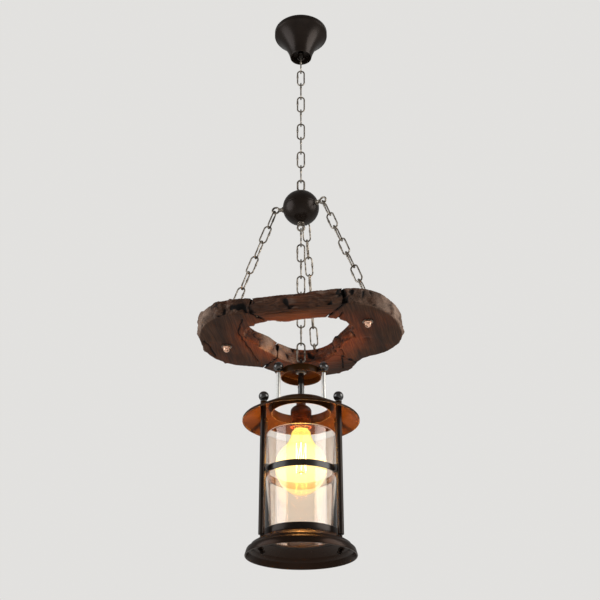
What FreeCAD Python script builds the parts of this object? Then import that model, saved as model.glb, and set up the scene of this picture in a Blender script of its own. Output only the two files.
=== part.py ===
# Lantern pendant light: a bell canopy, a chain with a ball hub, a rough timber ring on three side chains
# and a glass lantern on a fourth chain through the ring. Millimetres, +Z up, origin at the ceiling.
import FreeCAD
import Part
import math
import os
import Sketcher

Vector = FreeCAD.Vector

# Driving sizes, in millimetres, degrees or counts as the name says.
# Azimuths are counted from the front (-Y) and grow toward +X.
SIZES = {
    # Fits shared by all pieces
    "thread_fit": 0.05,
    "bolt_play": 0.3,
    "running_gap": 0.3,
    # Ceiling bracket and nipple
    "bracket_length": 104,
    "bracket_width": 20,
    "bracket_sheet": 2,
    "bracket_drop": 12,
    "bracket_middle": 66,
    "bracket_hole_spacing": 82,
    "bracket_hole": 5.5,
    "nipple_diameter": 10,
    "nipple_bore": 7,
    "nipple_nut_flats": 14,
    "nipple_nut_height": 4,
    "nipple_stickout": 1,
    "nipple_engagement": 6.5,
    # Terminal block and earth screw
    "terminal_length": 18,
    "terminal_width": 19,
    "terminal_height": 13,
    "terminal_offset": 11,
    "terminal_pitch": 6,
    "terminal_bore": 4.2,
    "terminal_screw": 3.6,
    "terminal_screw_depth": 4,
    "earth_screw_offset": 22,
    "earth_screw_shank": 4,
    "earth_screw_length": 7,
    "earth_screw_head": 8,
    "earth_screw_head_height": 2.5,
    # Canopy
    "canopy_diameter": 120,
    "canopy_height": 74,
    "canopy_neck": 48,
    "canopy_wall": 1.5,
    "canopy_skirt": 10,
    "canopy_sweep": 115,
    "canopy_recess": 17,
    "gland_offset": 17,
    "gland_diameter": 7,
    "gland_bore": 5,
    "gland_flange": 9.5,
    "gland_flange_height": 1.5,
    # Rings and eye bolts
    "eye_radius": 7,
    "eye_wire": 4,
    "loop_stem": 9.4,
    "loop_stem_diameter": 13,
    "loop_flange": 24,
    "loop_flange_height": 2,
    # Chain links
    "link_length": 44,
    "link_width": 18,
    "link_wire": 3.2,
    "link_gap": 0.2,
    "top_links": 9,
    "side_links": 7,
    "drop_links": 8,
    # Ball hub
    "hub_diameter": 76,
    "hub_wall": 2,
    "hub_eye_stretch": 13,
    "hub_stem": 4.2,
    "hub_stem_diameter": 10,
    "hub_flange": 15,
    "hub_flange_height": 2,
    "hub_shank": 8,
    "hub_core_diameter": 28,
    "hub_core_height": 26,
    "hub_core_web": 6,
    "hub_eye_reach": 54,
    "side_flange": 12,
    "side_shank": 6,
    "side_shank_start": 6.5,
    # Timber ring in plan
    "ring_thickness": 35,
    "ring_rail_radius": 130,
    "ring_hole_radius": 100,
    "ring_hole_wave": 15,
    "ring_hole_azimuth": 52,
    "left_lobe_azimuth": -94,
    "left_lobe_swell": 68,
    "left_lobe_angle": 50,
    "right_lobe_azimuth": 70,
    "right_lobe_swell": 68,
    "right_lobe_angle": 50,
    "far_lobe_azimuth": 169,
    "far_lobe_swell": 50,
    "far_lobe_angle": 38,
    "seam_near_left_azimuth": -40,
    "seam_near_right_azimuth": 27,
    "seam_far_right_azimuth": 133,
    "seam_far_left_azimuth": 210,
    "dowel_diameter": 10,
    "dowel_length": 44,
    "dowel_spacing": 16,
    # Eye bolts in the timber
    "bolt_circle_radius": 150,
    "bolt_left_azimuth": -101,
    "bolt_right_azimuth": 57,
    "bolt_far_azimuth": 169,
    "bolt_shank": 6,
    "bolt_rise": 17,
    "bolt_stem_diameter": 8,
    "bolt_flange": 15,
    "bolt_flange_height": 2,
    "washer_diameter": 20,
    "washer_height": 1.5,
    "dome_nut_diameter": 17,
    "dome_nut_base": 4,
    "dome_nut_radius": 7,
    # Lantern loop, tube and cap
    "lantern_stem": 7,
    "lantern_stem_diameter": 18,
    "lantern_flange": 24,
    "lantern_flange_height": 2,
    "tube_diameter": 11.5,
    "tube_bore": 8,
    "tube_engagement": 4.5,
    "tube_length": 80,
    "tube_nut_flats": 17,
    "tube_nut_height": 5,
    "cap_diameter": 78,
    "cap_rise": 1,
    "cap_crown": 34,
    "cap_sheet": 1.5,
    "cap_skirt": 14.5,
    "cap_ear": 2,
    "cap_ear_width": 13,
    # Ball nuts and posts
    "post_stud": 5,
    "ball_nut_base": 12,
    "ball_nut_base_height": 1.5,
    "ball_nut_neck": 9,
    "ball_nut_neck_height": 2,
    "ball_nut_radius": 9.5,
    "stud_in_nut": 10,
    "lock_nut_flats": 8,
    "lock_nut_height": 4,
    "stud_beyond_nut": 2,
    "upper_post_diameter": 7.5,
    "upper_post_circle": 49.5,
    "upper_post_length": 56,
    "lower_post_diameter": 11,
    "lower_post_circle": 80,
    "post_azimuth_left": -60,
    "post_azimuth_right": 60,
    "post_azimuth_far": 180,
    "post_azimuth_far_left": -120,
    "post_azimuth_far_right": 120,
    # Brim
    "brim_diameter": 220,
    "brim_hole": 109,
    "brim_collar": 18,
    "brim_drop": 30,
    "brim_sheet": 1.5,
    "brim_lip": 4,
    "brim_tab_width": 14,
    "brim_tab_reach": 13.5,
    "brim_boss_stand": 0.8,
    # Base, collar and glass
    "cage_height": 254.5,
    "base_bore": 112,
    "base_seat": 140,
    "base_ridge": 178,
    "base_ridge_drop": 12,
    "base_shoulder": 192,
    "base_shoulder_drop": 19,
    "base_diameter": 200,
    "base_height": 32,
    "base_sheet": 2,
    "glass_diameter": 129,
    "glass_wall": 3,
    "glass_height": 194,
    "collar_play": 0.5,
    "collar_wall": 3.5,
    "collar_height": 12,
    "mid_ring_play": 1.5,
    "mid_ring_wall": 2.5,
    "mid_ring_height": 11.4,
    "mid_ring_level": 119,
    "mid_ring_lug": 9,
    # Lampholder
    "holder_diameter": 39.4,
    "holder_wall": 2.7,
    "holder_boss": 18,
    "holder_boss_height": 9.5,
    "holder_grip": 8,
    "dome_height": 26,
    "dome_shoulder": 16,
    "dome_sweep": 13,
    "sleeve_height": 30,
    "sleeve_taper": 1.2,
    "insert_height": 4,
    "shell_bore": 27.2,
    "shell_wall": 0.5,
    "shell_height": 23,
    "contact_width": 8,
    "contact_sheet": 0.8,
    # Lamp
    "lamp_cap_diameter": 26.2,
    "lamp_cap_height": 25,
    "lamp_cap_wall": 0.4,
    "lamp_contact_diameter": 9.6,
    "lamp_contact_height": 1.2,
    "lamp_insulator_height": 2,
    "lamp_glass_wall": 0.6,
    "lamp_neck": 25,
    "lamp_throat": 34,
    "lamp_belly": 95,
    "lamp_glass_height": 124.5,
    "lamp_neck_overlap": 8,
    "lamp_neck_below_cap": 1,
    "lamp_throat_start": 6,
    "lamp_throat_end": 13,
    "lamp_belly_angle": 48,
    "lamp_flare_radius": 59,
    "lamp_stem_height": 86,
    "lamp_stem_diameter": 6,
    "lamp_stem_flange_height": 2,
    "cage_radius": 10,
    "cage_wires": 6,
    "cage_wire": 0.8,
    "cage_arm": 1.2,
    "cage_hub_height": 2,
    "cage_span": 52,
}


class Size:
    """A number together with the sheet expression it comes from."""

    def __init__(self, value, text):
        self.value = value
        self.text = text

    def __add__(self, other):
        other = as_size(other)
        return Size(self.value + other.value, f"({self.text} + {other.text})")

    def __sub__(self, other):
        other = as_size(other)
        return Size(self.value - other.value, f"({self.text} - {other.text})")

    def __mul__(self, other):
        other = as_size(other)
        return Size(self.value * other.value, f"({self.text} * {other.text})")

    def __truediv__(self, other):
        other = as_size(other)
        return Size(self.value / other.value, f"({self.text} / {other.text})")

    def __rsub__(self, other):
        return as_size(other) - self

    def __neg__(self):
        return Size(-self.value, f"(0 - {self.text})")

    __radd__ = __add__
    __rmul__ = __mul__


def as_size(number):
    """Takes a plain number as a size of its own."""
    if isinstance(number, Size):
        return number
    return Size(number, repr(number))


def sine(angle):
    return Size(math.sin(math.radians(angle.value)), f"sin({angle.text})")


def cosine(angle):
    return Size(math.cos(math.radians(angle.value)), f"cos({angle.text})")


def root(size):
    return Size(math.sqrt(size.value), f"sqrt({size.text})")


doc = FreeCAD.newDocument("lantern_pendant")
sheet = doc.addObject("Spreadsheet::Sheet", "Sizes")
for row, (alias, number) in enumerate(SIZES.items(), 1):
    sheet.set(f"A{row}", alias)
    sheet.set(f"B{row}", str(number))
    sheet.setAlias(f"B{row}", alias)
doc.recompute()
nodes = []


class Table:
    """The sheet's sizes as attributes."""


S = Table()
for alias, number in SIZES.items():
    setattr(S, alias, Size(number, f"Sizes.{alias}"))


# Building blocks
def bind(item, name, size):
    """Ties one property of an object to the sheet."""
    item.setExpression(name, as_size(size).text)


def place(item, x, y, z):
    """Ties an object's position to the sheet."""
    for axis, size in zip("xyz", (x, y, z)):
        bind(item, f"Placement.Base.{axis}", size)


def polar(radius, azimuth):
    """Plan position at a radius and an azimuth from the front."""
    return radius * sine(azimuth), -(radius * cosine(azimuth))


def node(item):
    """Marks an object as one sub-part of the lamp."""
    nodes.append(item)
    return item


def arc_between(start, end, radius, side):
    """Circle arc from start to end whose centre lies to the left (side 1) or right (side -1) of the chord."""
    chord = end - start
    normal = Vector(-chord.y, chord.x, 0) / chord.Length * side
    centre = (start + end) / 2 + normal * math.sqrt(radius ** 2 - (chord.Length / 2) ** 2)
    first = math.atan2(start.y - centre.y, start.x - centre.x)
    last = math.atan2(end.y - centre.y, end.x - centre.x)
    if side < 0:
        first, last = last, first
    if last < first:
        last += 2 * math.pi
    return Part.ArcOfCircle(Part.Circle(centre, Vector(0, 0, 1), radius), first, last)


def outline_sketch(body, outline):
    """Closed sketch on the body's XZ plane through (radius, height) corners. A corner that ends with
    (radius, side) is reached along an arc. Every corner and arc is tied to the sheet."""
    sketch = body.newObject("Sketcher::SketchObject", body.Name + "_outline")
    plane = [item for item in body.Origin.OriginFeatures if item.Role == "XZ_Plane"][0]
    sketch.AttachmentSupport = [(plane, "")]
    sketch.MapMode = "FlatFace"
    corners = [[as_size(value) for value in corner[:2]] for corner in outline]
    points = [Vector(x.value, y.value, 0) for x, y in corners]
    ends = []
    for index in range(len(points)):
        start, end = points[index - 1], points[index]
        if len(outline[index]) == 3:
            radius, side = outline[index][2]
            edge = sketch.addGeometry(arc_between(start, end, radius.value, side))
            bow = sketch.addConstraint(Sketcher.Constraint("Radius", edge, radius.value))
            bind(sketch, f"Constraints[{bow}]", radius)
            ends.append((edge, 1, 2) if side > 0 else (edge, 2, 1))
        else:
            edge = sketch.addGeometry(Part.LineSegment(start, end))
            ends.append((edge, 1, 2))
    for index, (edge, first, last) in enumerate(ends):
        following, begin, _ = ends[(index + 1) % len(ends)]
        sketch.addConstraint(Sketcher.Constraint("Coincident", edge, last, following, begin))
        for kind, axis, size in zip(("DistanceX", "DistanceY"), (-2, -1), corners[index]):
            if size.value == 0:
                sketch.addConstraint(Sketcher.Constraint("PointOnObject", edge, last, axis))
            else:
                held = sketch.addConstraint(Sketcher.Constraint(kind, -1, 1, edge, last, size.value))
                bind(sketch, f"Constraints[{held}]", size)
    return sketch


def turned(label, outline, level=0):
    """A turned or spun piece: the outline revolved about the vertical axis, lifted to a level."""
    body = doc.addObject("PartDesign::Body", label)
    sketch = outline_sketch(body, outline)
    turn = body.newObject("PartDesign::Revolution", label + "_turn")
    turn.Profile = sketch
    turn.ReferenceAxis = (sketch, ["V_Axis"])
    turn.Angle = 360
    body.Tip = turn
    bind(body, "Placement.Base.z", level)
    return body


def rod(label, diameter, length, x, y, z):
    """A plain vertical cylinder standing on (x, y, z)."""
    item = doc.addObject("Part::Cylinder", label)
    bind(item, "Radius", diameter / 2)
    bind(item, "Height", length)
    place(item, x, y, z)
    return item


def block(label, length, width, height, x, y, z):
    """A plain box centred on x and y, standing on z."""
    item = doc.addObject("Part::Box", label)
    bind(item, "Length", length)
    bind(item, "Width", width)
    bind(item, "Height", height)
    place(item, x - length / 2, y - width / 2, z)
    return item


def fused(label, items):
    item = doc.addObject("Part::MultiFuse", label)
    item.Shapes = items
    item.Refine = True
    return item


def cut(label, base, tools):
    """The base with each tool taken away."""
    item = doc.addObject("Part::Cut", label)
    item.Base = base
    item.Tool = tools[0] if len(tools) == 1 else fused(label + "_tools", tools)
    return item


def drilled(label, base, diameter, spots, top, bottom):
    """The base with vertical holes at plan spots, from the bottom level to the top level."""
    drills = [rod(f"{label}_drill_{index}", diameter, top - bottom, x, y, bottom)
              for index, (x, y) in enumerate(spots)]
    return cut(label, base, drills)


def hex_nut(label, flats, height, bore):
    """A hex nut standing on its local origin."""
    prism = doc.addObject("Part::Prism", label + "_prism")
    prism.Polygon = 6
    bind(prism, "Circumradius", flats / root(as_size(3)))
    bind(prism, "Height", height)
    return cut(label, prism, [rod(label + "_bore", bore, height, 0, 0, 0)])


def copies(label, pattern, placements):
    """Separate copies of a pattern piece at the given placements, as one group."""
    doc.recompute()
    solids = []
    for placement in placements:
        solid = pattern.Shape.copy()
        solid.Placement = placement * solid.Placement
        solids.append(solid)
    group = doc.addObject("Part::Feature", label)
    group.Shape = solids[0] if len(solids) == 1 else Part.makeCompound(solids)
    return group


def at(x, y, z, turn=0):
    """Placement at a point, turned about the vertical by an azimuth."""
    return FreeCAD.Placement(Vector(x, y, z), FreeCAD.Rotation(Vector(0, 0, 1), turn))


def at_spots(spots, level):
    return [at(x.value, y.value, level.value) for x, y in spots]


# Levels down the lamp, each worked out from the piece above it
floor_level = -(S.canopy_height - S.canopy_recess)
fixture_ring = floor_level - S.loop_stem - S.eye_radius
link_pitch = S.link_length - S.link_wire * 2 - S.link_gap
ring_reach = S.eye_radius * 2 - S.eye_wire - S.link_gap
hub_top_ring = fixture_ring - S.top_links * link_pitch - ring_reach
hub_level = hub_top_ring - S.hub_eye_stretch - S.eye_radius - S.hub_stem - S.hub_diameter / 2
hub_bottom_ring = hub_level - S.hub_diameter / 2 - S.hub_stem - S.eye_radius
side_span = S.side_links * link_pitch + ring_reach
side_run = S.bolt_circle_radius - S.hub_eye_reach
side_fall = root(side_span * side_span - side_run * side_run)
bolt_ring = hub_level - side_fall
timber_top = bolt_ring - S.bolt_rise - S.washer_height
timber_bottom = timber_top - S.ring_thickness
lantern_ring = hub_bottom_ring - S.drop_links * link_pitch - ring_reach
crown_level = lantern_ring - S.eye_radius - S.lantern_stem
cap_level = crown_level - S.cap_rise
ear_level = cap_level - S.cap_skirt
brim_level = ear_level - S.upper_post_length
seat_level = brim_level - S.cage_height
tube_top = crown_level + S.tube_engagement
tube_bottom = tube_top - S.tube_length
holder_top = tube_bottom + S.holder_grip
sleeve_top = holder_top - S.dome_height
sleeve_bottom = sleeve_top - S.sleeve_height
insert_bottom = sleeve_top - S.insert_height
lamp_tip = insert_bottom - S.contact_sheet - S.running_gap
upper_azimuths = (S.post_azimuth_left, S.post_azimuth_right, S.post_azimuth_far)
lower_azimuths = (S.post_azimuth_left, S.post_azimuth_right, S.post_azimuth_far_left,
                  S.post_azimuth_far_right)
bolt_azimuths = (S.bolt_left_azimuth, S.bolt_right_azimuth, S.bolt_far_azimuth)


# Ceiling bracket: a strap with two feet on the ceiling and a dropped middle for the nipple
foot_length = (S.bracket_length - S.bracket_middle) / 2
middle_top = -S.bracket_drop
middle_bottom = middle_top - S.bracket_sheet
foot_x = (S.bracket_length - foot_length) / 2
web_x = (S.bracket_middle - S.bracket_sheet) / 2
strap = fused("bracket_strap", [
    block("bracket_foot_left", foot_length, S.bracket_width, S.bracket_sheet, -foot_x, 0, -S.bracket_sheet),
    block("bracket_foot_right", foot_length, S.bracket_width, S.bracket_sheet, foot_x, 0, -S.bracket_sheet),
    block("bracket_web_left", S.bracket_sheet, S.bracket_width, -middle_bottom, -web_x, 0, middle_bottom),
    block("bracket_web_right", S.bracket_sheet, S.bracket_width, -middle_bottom, web_x, 0, middle_bottom),
    block("bracket_middle", S.bracket_middle, S.bracket_width, S.bracket_sheet, 0, 0, middle_bottom),
])
screw_x = S.bracket_hole_spacing / 2
strap_depth = -middle_bottom
node(cut("ceiling_bracket", strap, [
    rod("bracket_hole_left", S.bracket_hole, strap_depth, -screw_x, 0, middle_bottom),
    rod("bracket_hole_right", S.bracket_hole, strap_depth, screw_x, 0, middle_bottom),
    rod("bracket_hole_middle", S.nipple_diameter + S.bolt_play * 2, strap_depth, 0, 0, middle_bottom),
    rod("bracket_hole_earth", S.earth_screw_shank + S.bolt_play, strap_depth,
        -S.earth_screw_offset, 0, middle_bottom),
]))

# Nipple: hollow threaded tube clamped to the strap by two nuts
nipple_top = middle_top + S.nipple_nut_height + S.nipple_stickout
nipple_bottom = floor_level - S.nipple_engagement + S.bolt_play
node(turned("nipple", [
    (S.nipple_bore / 2, nipple_top),
    (S.nipple_diameter / 2, nipple_top),
    (S.nipple_diameter / 2, nipple_bottom),
    (S.nipple_bore / 2, nipple_bottom),
]))
nipple_nut = hex_nut("nipple_nut", S.nipple_nut_flats, S.nipple_nut_height,
                     S.nipple_diameter + S.thread_fit * 2)
node(copies("nipple_nuts", nipple_nut, [
    at(0, 0, middle_top.value),
    at(0, 0, (middle_bottom - S.nipple_nut_height).value),
]))

# Terminal block below the strap, with three wire ways and their clamp screws
terminal_x = S.terminal_offset + S.terminal_length / 2
terminal_bottom = middle_bottom - S.terminal_height
terminal_rows = [S.terminal_pitch * row for row in (-1, 0, 1)]
wire_ways = []
for index, y in enumerate(terminal_rows):
    way = rod(f"terminal_way_{index}", S.terminal_bore, S.terminal_length, S.terminal_offset, y,
              terminal_bottom + S.terminal_height / 2)
    way.Placement.Rotation = FreeCAD.Rotation(Vector(0, 1, 0), 90)
    wire_ways.append(way)
screw_wells = [rod(f"terminal_well_{index}", S.terminal_screw + S.bolt_play, S.terminal_screw_depth,
                   terminal_x, y, terminal_bottom) for index, y in enumerate(terminal_rows)]
node(cut("terminal_block",
         block("terminal_body", S.terminal_length, S.terminal_width, S.terminal_height, terminal_x, 0,
               terminal_bottom),
         wire_ways + screw_wells))
terminal_screw = rod("terminal_screw", S.terminal_screw, S.terminal_screw_depth - S.bolt_play, 0, 0, 0)
node(copies("terminal_screws", terminal_screw,
            at_spots([(terminal_x, as_size(y)) for y in terminal_rows], terminal_bottom)))

# Earth screw through the strap
node(turned("earth_screw", [
    (0, S.earth_screw_length),
    (S.earth_screw_shank / 2, S.earth_screw_length),
    (S.earth_screw_shank / 2, 0),
    (S.earth_screw_head / 2, 0),
    (S.earth_screw_head / 2, -S.earth_screw_head_height),
    (0, -S.earth_screw_head_height),
], middle_bottom))
bind(nodes[-1], "Placement.Base.x", -S.earth_screw_offset)

# Canopy: spun bell with a straight skirt, a trumpet sweep and a floor set back into its neck
rim_radius = S.canopy_diameter / 2
neck_radius = S.canopy_neck / 2
recess_radius = neck_radius - S.canopy_wall
canopy_blank = turned("canopy_blank", [
    (rim_radius - S.canopy_wall, 0),
    (rim_radius, 0),
    (rim_radius, -S.canopy_skirt),
    (neck_radius, -S.canopy_height, (S.canopy_sweep, 1)),
    (recess_radius, -S.canopy_height),
    (recess_radius, floor_level),
    (S.nipple_diameter / 2 + S.bolt_play, floor_level),
    (S.nipple_diameter / 2 + S.bolt_play, floor_level + S.canopy_wall),
    (neck_radius, floor_level + S.canopy_wall),
    (rim_radius - S.canopy_wall, -S.canopy_skirt, (S.canopy_sweep, -1)),
])
gland_hole = S.gland_diameter + S.bolt_play
node(drilled("canopy", canopy_blank, gland_hole, [(0, S.gland_offset)],
             floor_level + S.canopy_wall, floor_level))

# Cord gland: flanged bush in the canopy floor
node(turned("cord_gland", [
    (S.gland_bore / 2, S.canopy_wall * 2),
    (S.gland_diameter / 2, S.canopy_wall * 2),
    (S.gland_diameter / 2, 0),
    (S.gland_flange / 2, 0),
    (S.gland_flange / 2, -S.gland_flange_height),
    (S.gland_bore / 2, -S.gland_flange_height),
], floor_level))
bind(nodes[-1], "Placement.Base.y", S.gland_offset)


# Rings, eyes and links of round wire
def wire_loop(label, radius, wire, stretch):
    """A closed loop of round wire in the XZ plane: half rings round (0, 0, 0) and (0, 0, -stretch)."""
    pieces = []
    for name, level, roll in (("upper", 0, 0), ("lower", -stretch, 180)):
        half = doc.addObject("Part::Torus", f"{label}_{name}")
        bind(half, "Radius1", radius)
        bind(half, "Radius2", wire / 2)
        half.Angle3 = 180
        upright = FreeCAD.Rotation(Vector(1, 0, 0), 90)
        half.Placement.Rotation = FreeCAD.Rotation(Vector(0, 1, 0), roll) * upright
        bind(half, "Placement.Base.z", level)
        pieces.append(half)
    if stretch.value > 0:
        for name, x in (("left", -radius), ("right", radius)):
            pieces.append(rod(f"{label}_{name}", wire, stretch, x, 0, -stretch))
    return fused(label, pieces)


def eye(label, stretch, stem, stem_diameter, flange, flange_height, tail):
    """A wire eye with a turned stem and flange below it. tail lists the corners from the flange's foot
    back to the axis, as (radius, depth below the flange)."""
    foot = -stretch - S.eye_radius - stem
    shank = turned(label + "_shank", [
        (0, foot + stem),
        (stem_diameter / 2, foot + stem),
        (stem_diameter / 2, foot + flange_height),
        (flange / 2, foot + flange_height),
        (flange / 2, foot),
    ] + [(radius, foot - depth) for radius, depth in tail])
    ring = wire_loop(label + "_ring", S.eye_radius, S.eye_wire, stretch)
    return fused(label, [ring, shank])


# Fixture loop: ring screwed on the nipple's end, its flange holds the canopy up
nipple_socket = S.nipple_diameter / 2 + S.thread_fit
loop_pattern = eye("fixture_loop_pattern", as_size(0), S.loop_stem, S.loop_stem_diameter, S.loop_flange,
                   S.loop_flange_height, [
                       (nipple_socket, as_size(0)),
                       (nipple_socket, -S.nipple_engagement),
                       (0, -S.nipple_engagement),
                   ])
upside_down = FreeCAD.Placement(Vector(0, 0, fixture_ring.value), FreeCAD.Rotation(Vector(1, 0, 0), 180))
node(copies("fixture_loop", loop_pattern, [upside_down]))

# Chains: straight links that cross each other by a quarter turn
link_radius = (S.link_width - S.link_wire) / 2
link_stretch = S.link_length - S.link_width
link_pattern = wire_loop("link_pattern", link_radius, S.link_wire, link_stretch)


def chain(label, ring_centre, pull, across, first, count):
    """Links number first to first + count - 1 of a chain hooked on the ring at ring_centre and pulled
    along a direction. Link 0 lies in the plane of pull and across."""
    lead = (S.eye_radius - (S.eye_wire + S.link_wire) / 2 - S.link_gap + link_radius).value
    placements = []
    for number in range(first, first + count):
        centre = ring_centre + pull * (lead + number * link_pitch.value)
        side = across if number % 2 == 0 else pull.cross(across)
        turn = FreeCAD.Rotation(side, Vector(), -pull, "ZXY")
        placements.append(FreeCAD.Placement(centre, turn))
    return copies(label, link_pattern, placements)


down = Vector(0, 0, -1)
sideways = Vector(0, 1, 0)
top_ring_centre = Vector(0, 0, fixture_ring.value)
node(chain("top_chain_link", top_ring_centre, down, sideways, 0, 1))
node(chain("top_chain", top_ring_centre, down, sideways, 1, SIZES["top_links"] - 1))

# Ball hub: two spun half shells clamped on a tapped core by the top and bottom eyes
hub_radius = S.hub_diameter / 2
hub_inside = hub_radius - S.hub_wall
pole_hole = S.hub_shank / 2 + S.thread_fit
pole_top = root(hub_radius * hub_radius - pole_hole * pole_hole)
pole_inside = root(hub_inside * hub_inside - pole_hole * pole_hole)
forward = FreeCAD.Rotation(Vector(1, 0, 0), 90)
side_drill = rod("hub_side_drill", S.side_shank + S.thread_fit * 2, hub_radius, 0,
                 -(S.side_shank_start - S.bolt_play), hub_level)
side_drill.Placement.Rotation = forward
side_drills = copies("hub_side_drills", side_drill, [at(0, 0, 0, azimuth.value) for azimuth in bolt_azimuths])
for name, sign in (("upper", 1), ("lower", -1)):
    shell = turned(f"hub_{name}_blank", [
        (hub_inside, 0, (hub_inside, -sign)),
        (hub_radius, 0),
        (pole_hole, pole_top * sign, (hub_radius, sign)),
        (pole_hole, pole_inside * sign),
    ], hub_level)
    node(cut(f"hub_{name}_shell", shell, [side_drills]))

core_half = S.hub_core_height / 2
web_half = S.hub_core_web / 2
core_blank = turned("hub_core_blank", [
    (0, web_half),
    (pole_hole, web_half),
    (pole_hole, core_half),
    (S.hub_core_diameter / 2, core_half),
    (S.hub_core_diameter / 2, -core_half),
    (pole_hole, -core_half),
    (pole_hole, -web_half),
    (0, -web_half),
], hub_level)
node(cut("hub_core", core_blank, [side_drills]))


def solid_tail(diameter, length):
    """Corners of a plain shank below an eye's flange."""
    return [(diameter / 2, as_size(0)), (diameter / 2, length), (0, length)]


pole_tail = solid_tail(S.hub_shank, hub_radius - web_half - S.bolt_play)
top_eye_pattern = eye("hub_top_eye_pattern", S.hub_eye_stretch, S.hub_stem, S.hub_stem_diameter, S.hub_flange,
                      S.hub_flange_height, pole_tail)
node(copies("hub_top_eye", top_eye_pattern, [at(0, 0, hub_top_ring.value)]))
bottom_eye_pattern = eye("hub_bottom_eye_pattern", as_size(0), S.hub_stem, S.hub_stem_diameter, S.hub_flange,
                         S.hub_flange_height, pole_tail)
hanging = FreeCAD.Placement(Vector(0, 0, hub_bottom_ring.value), FreeCAD.Rotation(Vector(1, 0, 0), 180))
node(copies("hub_bottom_eye", bottom_eye_pattern, [hanging]))
side_eye_pattern = eye("hub_side_eye_pattern", as_size(0), S.hub_eye_reach - S.eye_radius - hub_radius,
                       S.bolt_stem_diameter, S.side_flange, S.hub_flange_height,
                       solid_tail(S.side_shank, hub_radius - S.side_shank_start))
upright_ring = FreeCAD.Rotation(Vector(0, 0, 1), 90)
outward = FreeCAD.Placement(Vector(0, -S.hub_eye_reach.value, hub_level.value), forward * upright_ring)
node(copies("hub_side_eyes", side_eye_pattern,
            [at(0, 0, 0, azimuth.value) * outward for azimuth in bolt_azimuths]))

# Side chains from the hub's eyes to the eye bolts in the timber
for name, azimuth in zip(("left", "right", "far"), bolt_azimuths):
    turn = FreeCAD.Rotation(Vector(0, 0, 1), azimuth.value)
    ring_centre = turn.multVec(Vector(0, -S.hub_eye_reach.value, hub_level.value))
    pull = turn.multVec(Vector(0, -side_run.value, -side_fall.value) / side_span.value)
    tangent = turn.multVec(Vector(1, 0, 0))
    node(chain(f"side_chain_{name}", ring_centre, pull, tangent, 0, SIZES["side_links"]))

# Timber ring: three broad boards and a narrow rail, with wavy edges, butted and dowelled together
lobes = (
    (S.left_lobe_azimuth, S.left_lobe_swell, S.left_lobe_angle),
    (S.right_lobe_azimuth, S.right_lobe_swell, S.right_lobe_angle),
    (S.far_lobe_azimuth, S.far_lobe_swell, S.far_lobe_angle),
)


def outer_radius(azimuth):
    """Outer edge of the ring: a rail radius that swells round each of the three lobes."""
    radius = S.ring_rail_radius.value
    for middle, swell, spread in lobes:
        away = (azimuth - middle.value + 180) % 360 - 180
        radius += swell.value * math.exp(-(away / spread.value) ** 4)
    return radius


def inner_radius(azimuth):
    """Edge of the hole: a circle with three soft waves."""
    wave = math.cos(math.radians(3 * (azimuth - S.ring_hole_azimuth.value)))
    return S.ring_hole_radius.value + S.ring_hole_wave.value * wave


def plan_point(radius, azimuth, level):
    angle = math.radians(azimuth)
    return Vector(radius * math.sin(angle), -radius * math.cos(angle), level)


def curve(radius_at, azimuths, level):
    """Smooth curve through the ring's edge at the given azimuths."""
    line = Part.BSplineCurve()
    line.interpolate([plan_point(radius_at(azimuth), azimuth, level) for azimuth in azimuths])
    return line.toShape()


def dowel_places(seam):
    """Two dowels one above the other across the joint at one seam azimuth."""
    radius = (outer_radius(seam) + inner_radius(seam)) / 2
    middle = (timber_bottom + S.ring_thickness / 2).value
    offset = S.dowel_spacing.value / 2
    turn = FreeCAD.Rotation(Vector(0, 0, 1), seam) * FreeCAD.Rotation(Vector(0, 1, 0), 90)
    levels = (middle - offset, middle + offset)
    return [FreeCAD.Placement(plan_point(radius, seam, level), turn) for level in levels]


seam_azimuths = (S.seam_near_left_azimuth, S.seam_near_right_azimuth, S.seam_far_right_azimuth,
                 S.seam_far_left_azimuth)
seams = [azimuth.value for azimuth in seam_azimuths]
dowel_pattern = rod("dowel_pattern", S.dowel_diameter, S.dowel_length, 0, 0, -(S.dowel_length / 2))
node(copies("ring_dowels", dowel_pattern, [spot for seam in seams for spot in dowel_places(seam)]))
dowel_hole = rod("dowel_hole", S.dowel_diameter + S.thread_fit * 2, S.dowel_length + S.bolt_play, 0, 0,
                 -((S.dowel_length + S.bolt_play) / 2))
dowel_holes = copies("dowel_holes", dowel_hole, [spot for seam in seams for spot in dowel_places(seam)])
bolt_hole = rod("bolt_hole", S.bolt_shank + S.bolt_play * 2, S.ring_thickness, 0, 0, 0)
bolt_spots = [polar(S.bolt_circle_radius, azimuth) for azimuth in bolt_azimuths]
bolt_holes = copies("bolt_holes", bolt_hole, at_spots(bolt_spots, timber_bottom))
doc.recompute()
edge_step = 10.0
boards = (
    ("wood_rail_near", seams[0], seams[1]),
    ("wood_board_right", seams[1], seams[2]),
    ("wood_board_far", seams[2], seams[3]),
    ("wood_board_left", seams[3], seams[0] + 360),
)
for label, start, end in boards:
    steps = math.ceil((end - start) / edge_step)
    azimuths = [start + (end - start) * step / steps for step in range(steps + 1)]
    level = timber_bottom.value
    outer = curve(outer_radius, azimuths, level)
    inner = curve(inner_radius, azimuths, level)
    joints = []
    for edge in (start, end):
        inner_end = plan_point(inner_radius(edge), edge, level)
        outer_end = plan_point(outer_radius(edge), edge, level)
        joints.append(Part.LineSegment(inner_end, outer_end).toShape())
    plank = Part.Face(Part.Wire(Part.__sortEdges__([outer, joints[1], inner, joints[0]])))
    plank = plank.extrude(Vector(0, 0, S.ring_thickness.value))
    board = doc.addObject("Part::Feature", label)
    board.Shape = plank.cut([dowel_holes.Shape, bolt_holes.Shape]).Solids[0]
    node(board)

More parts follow.
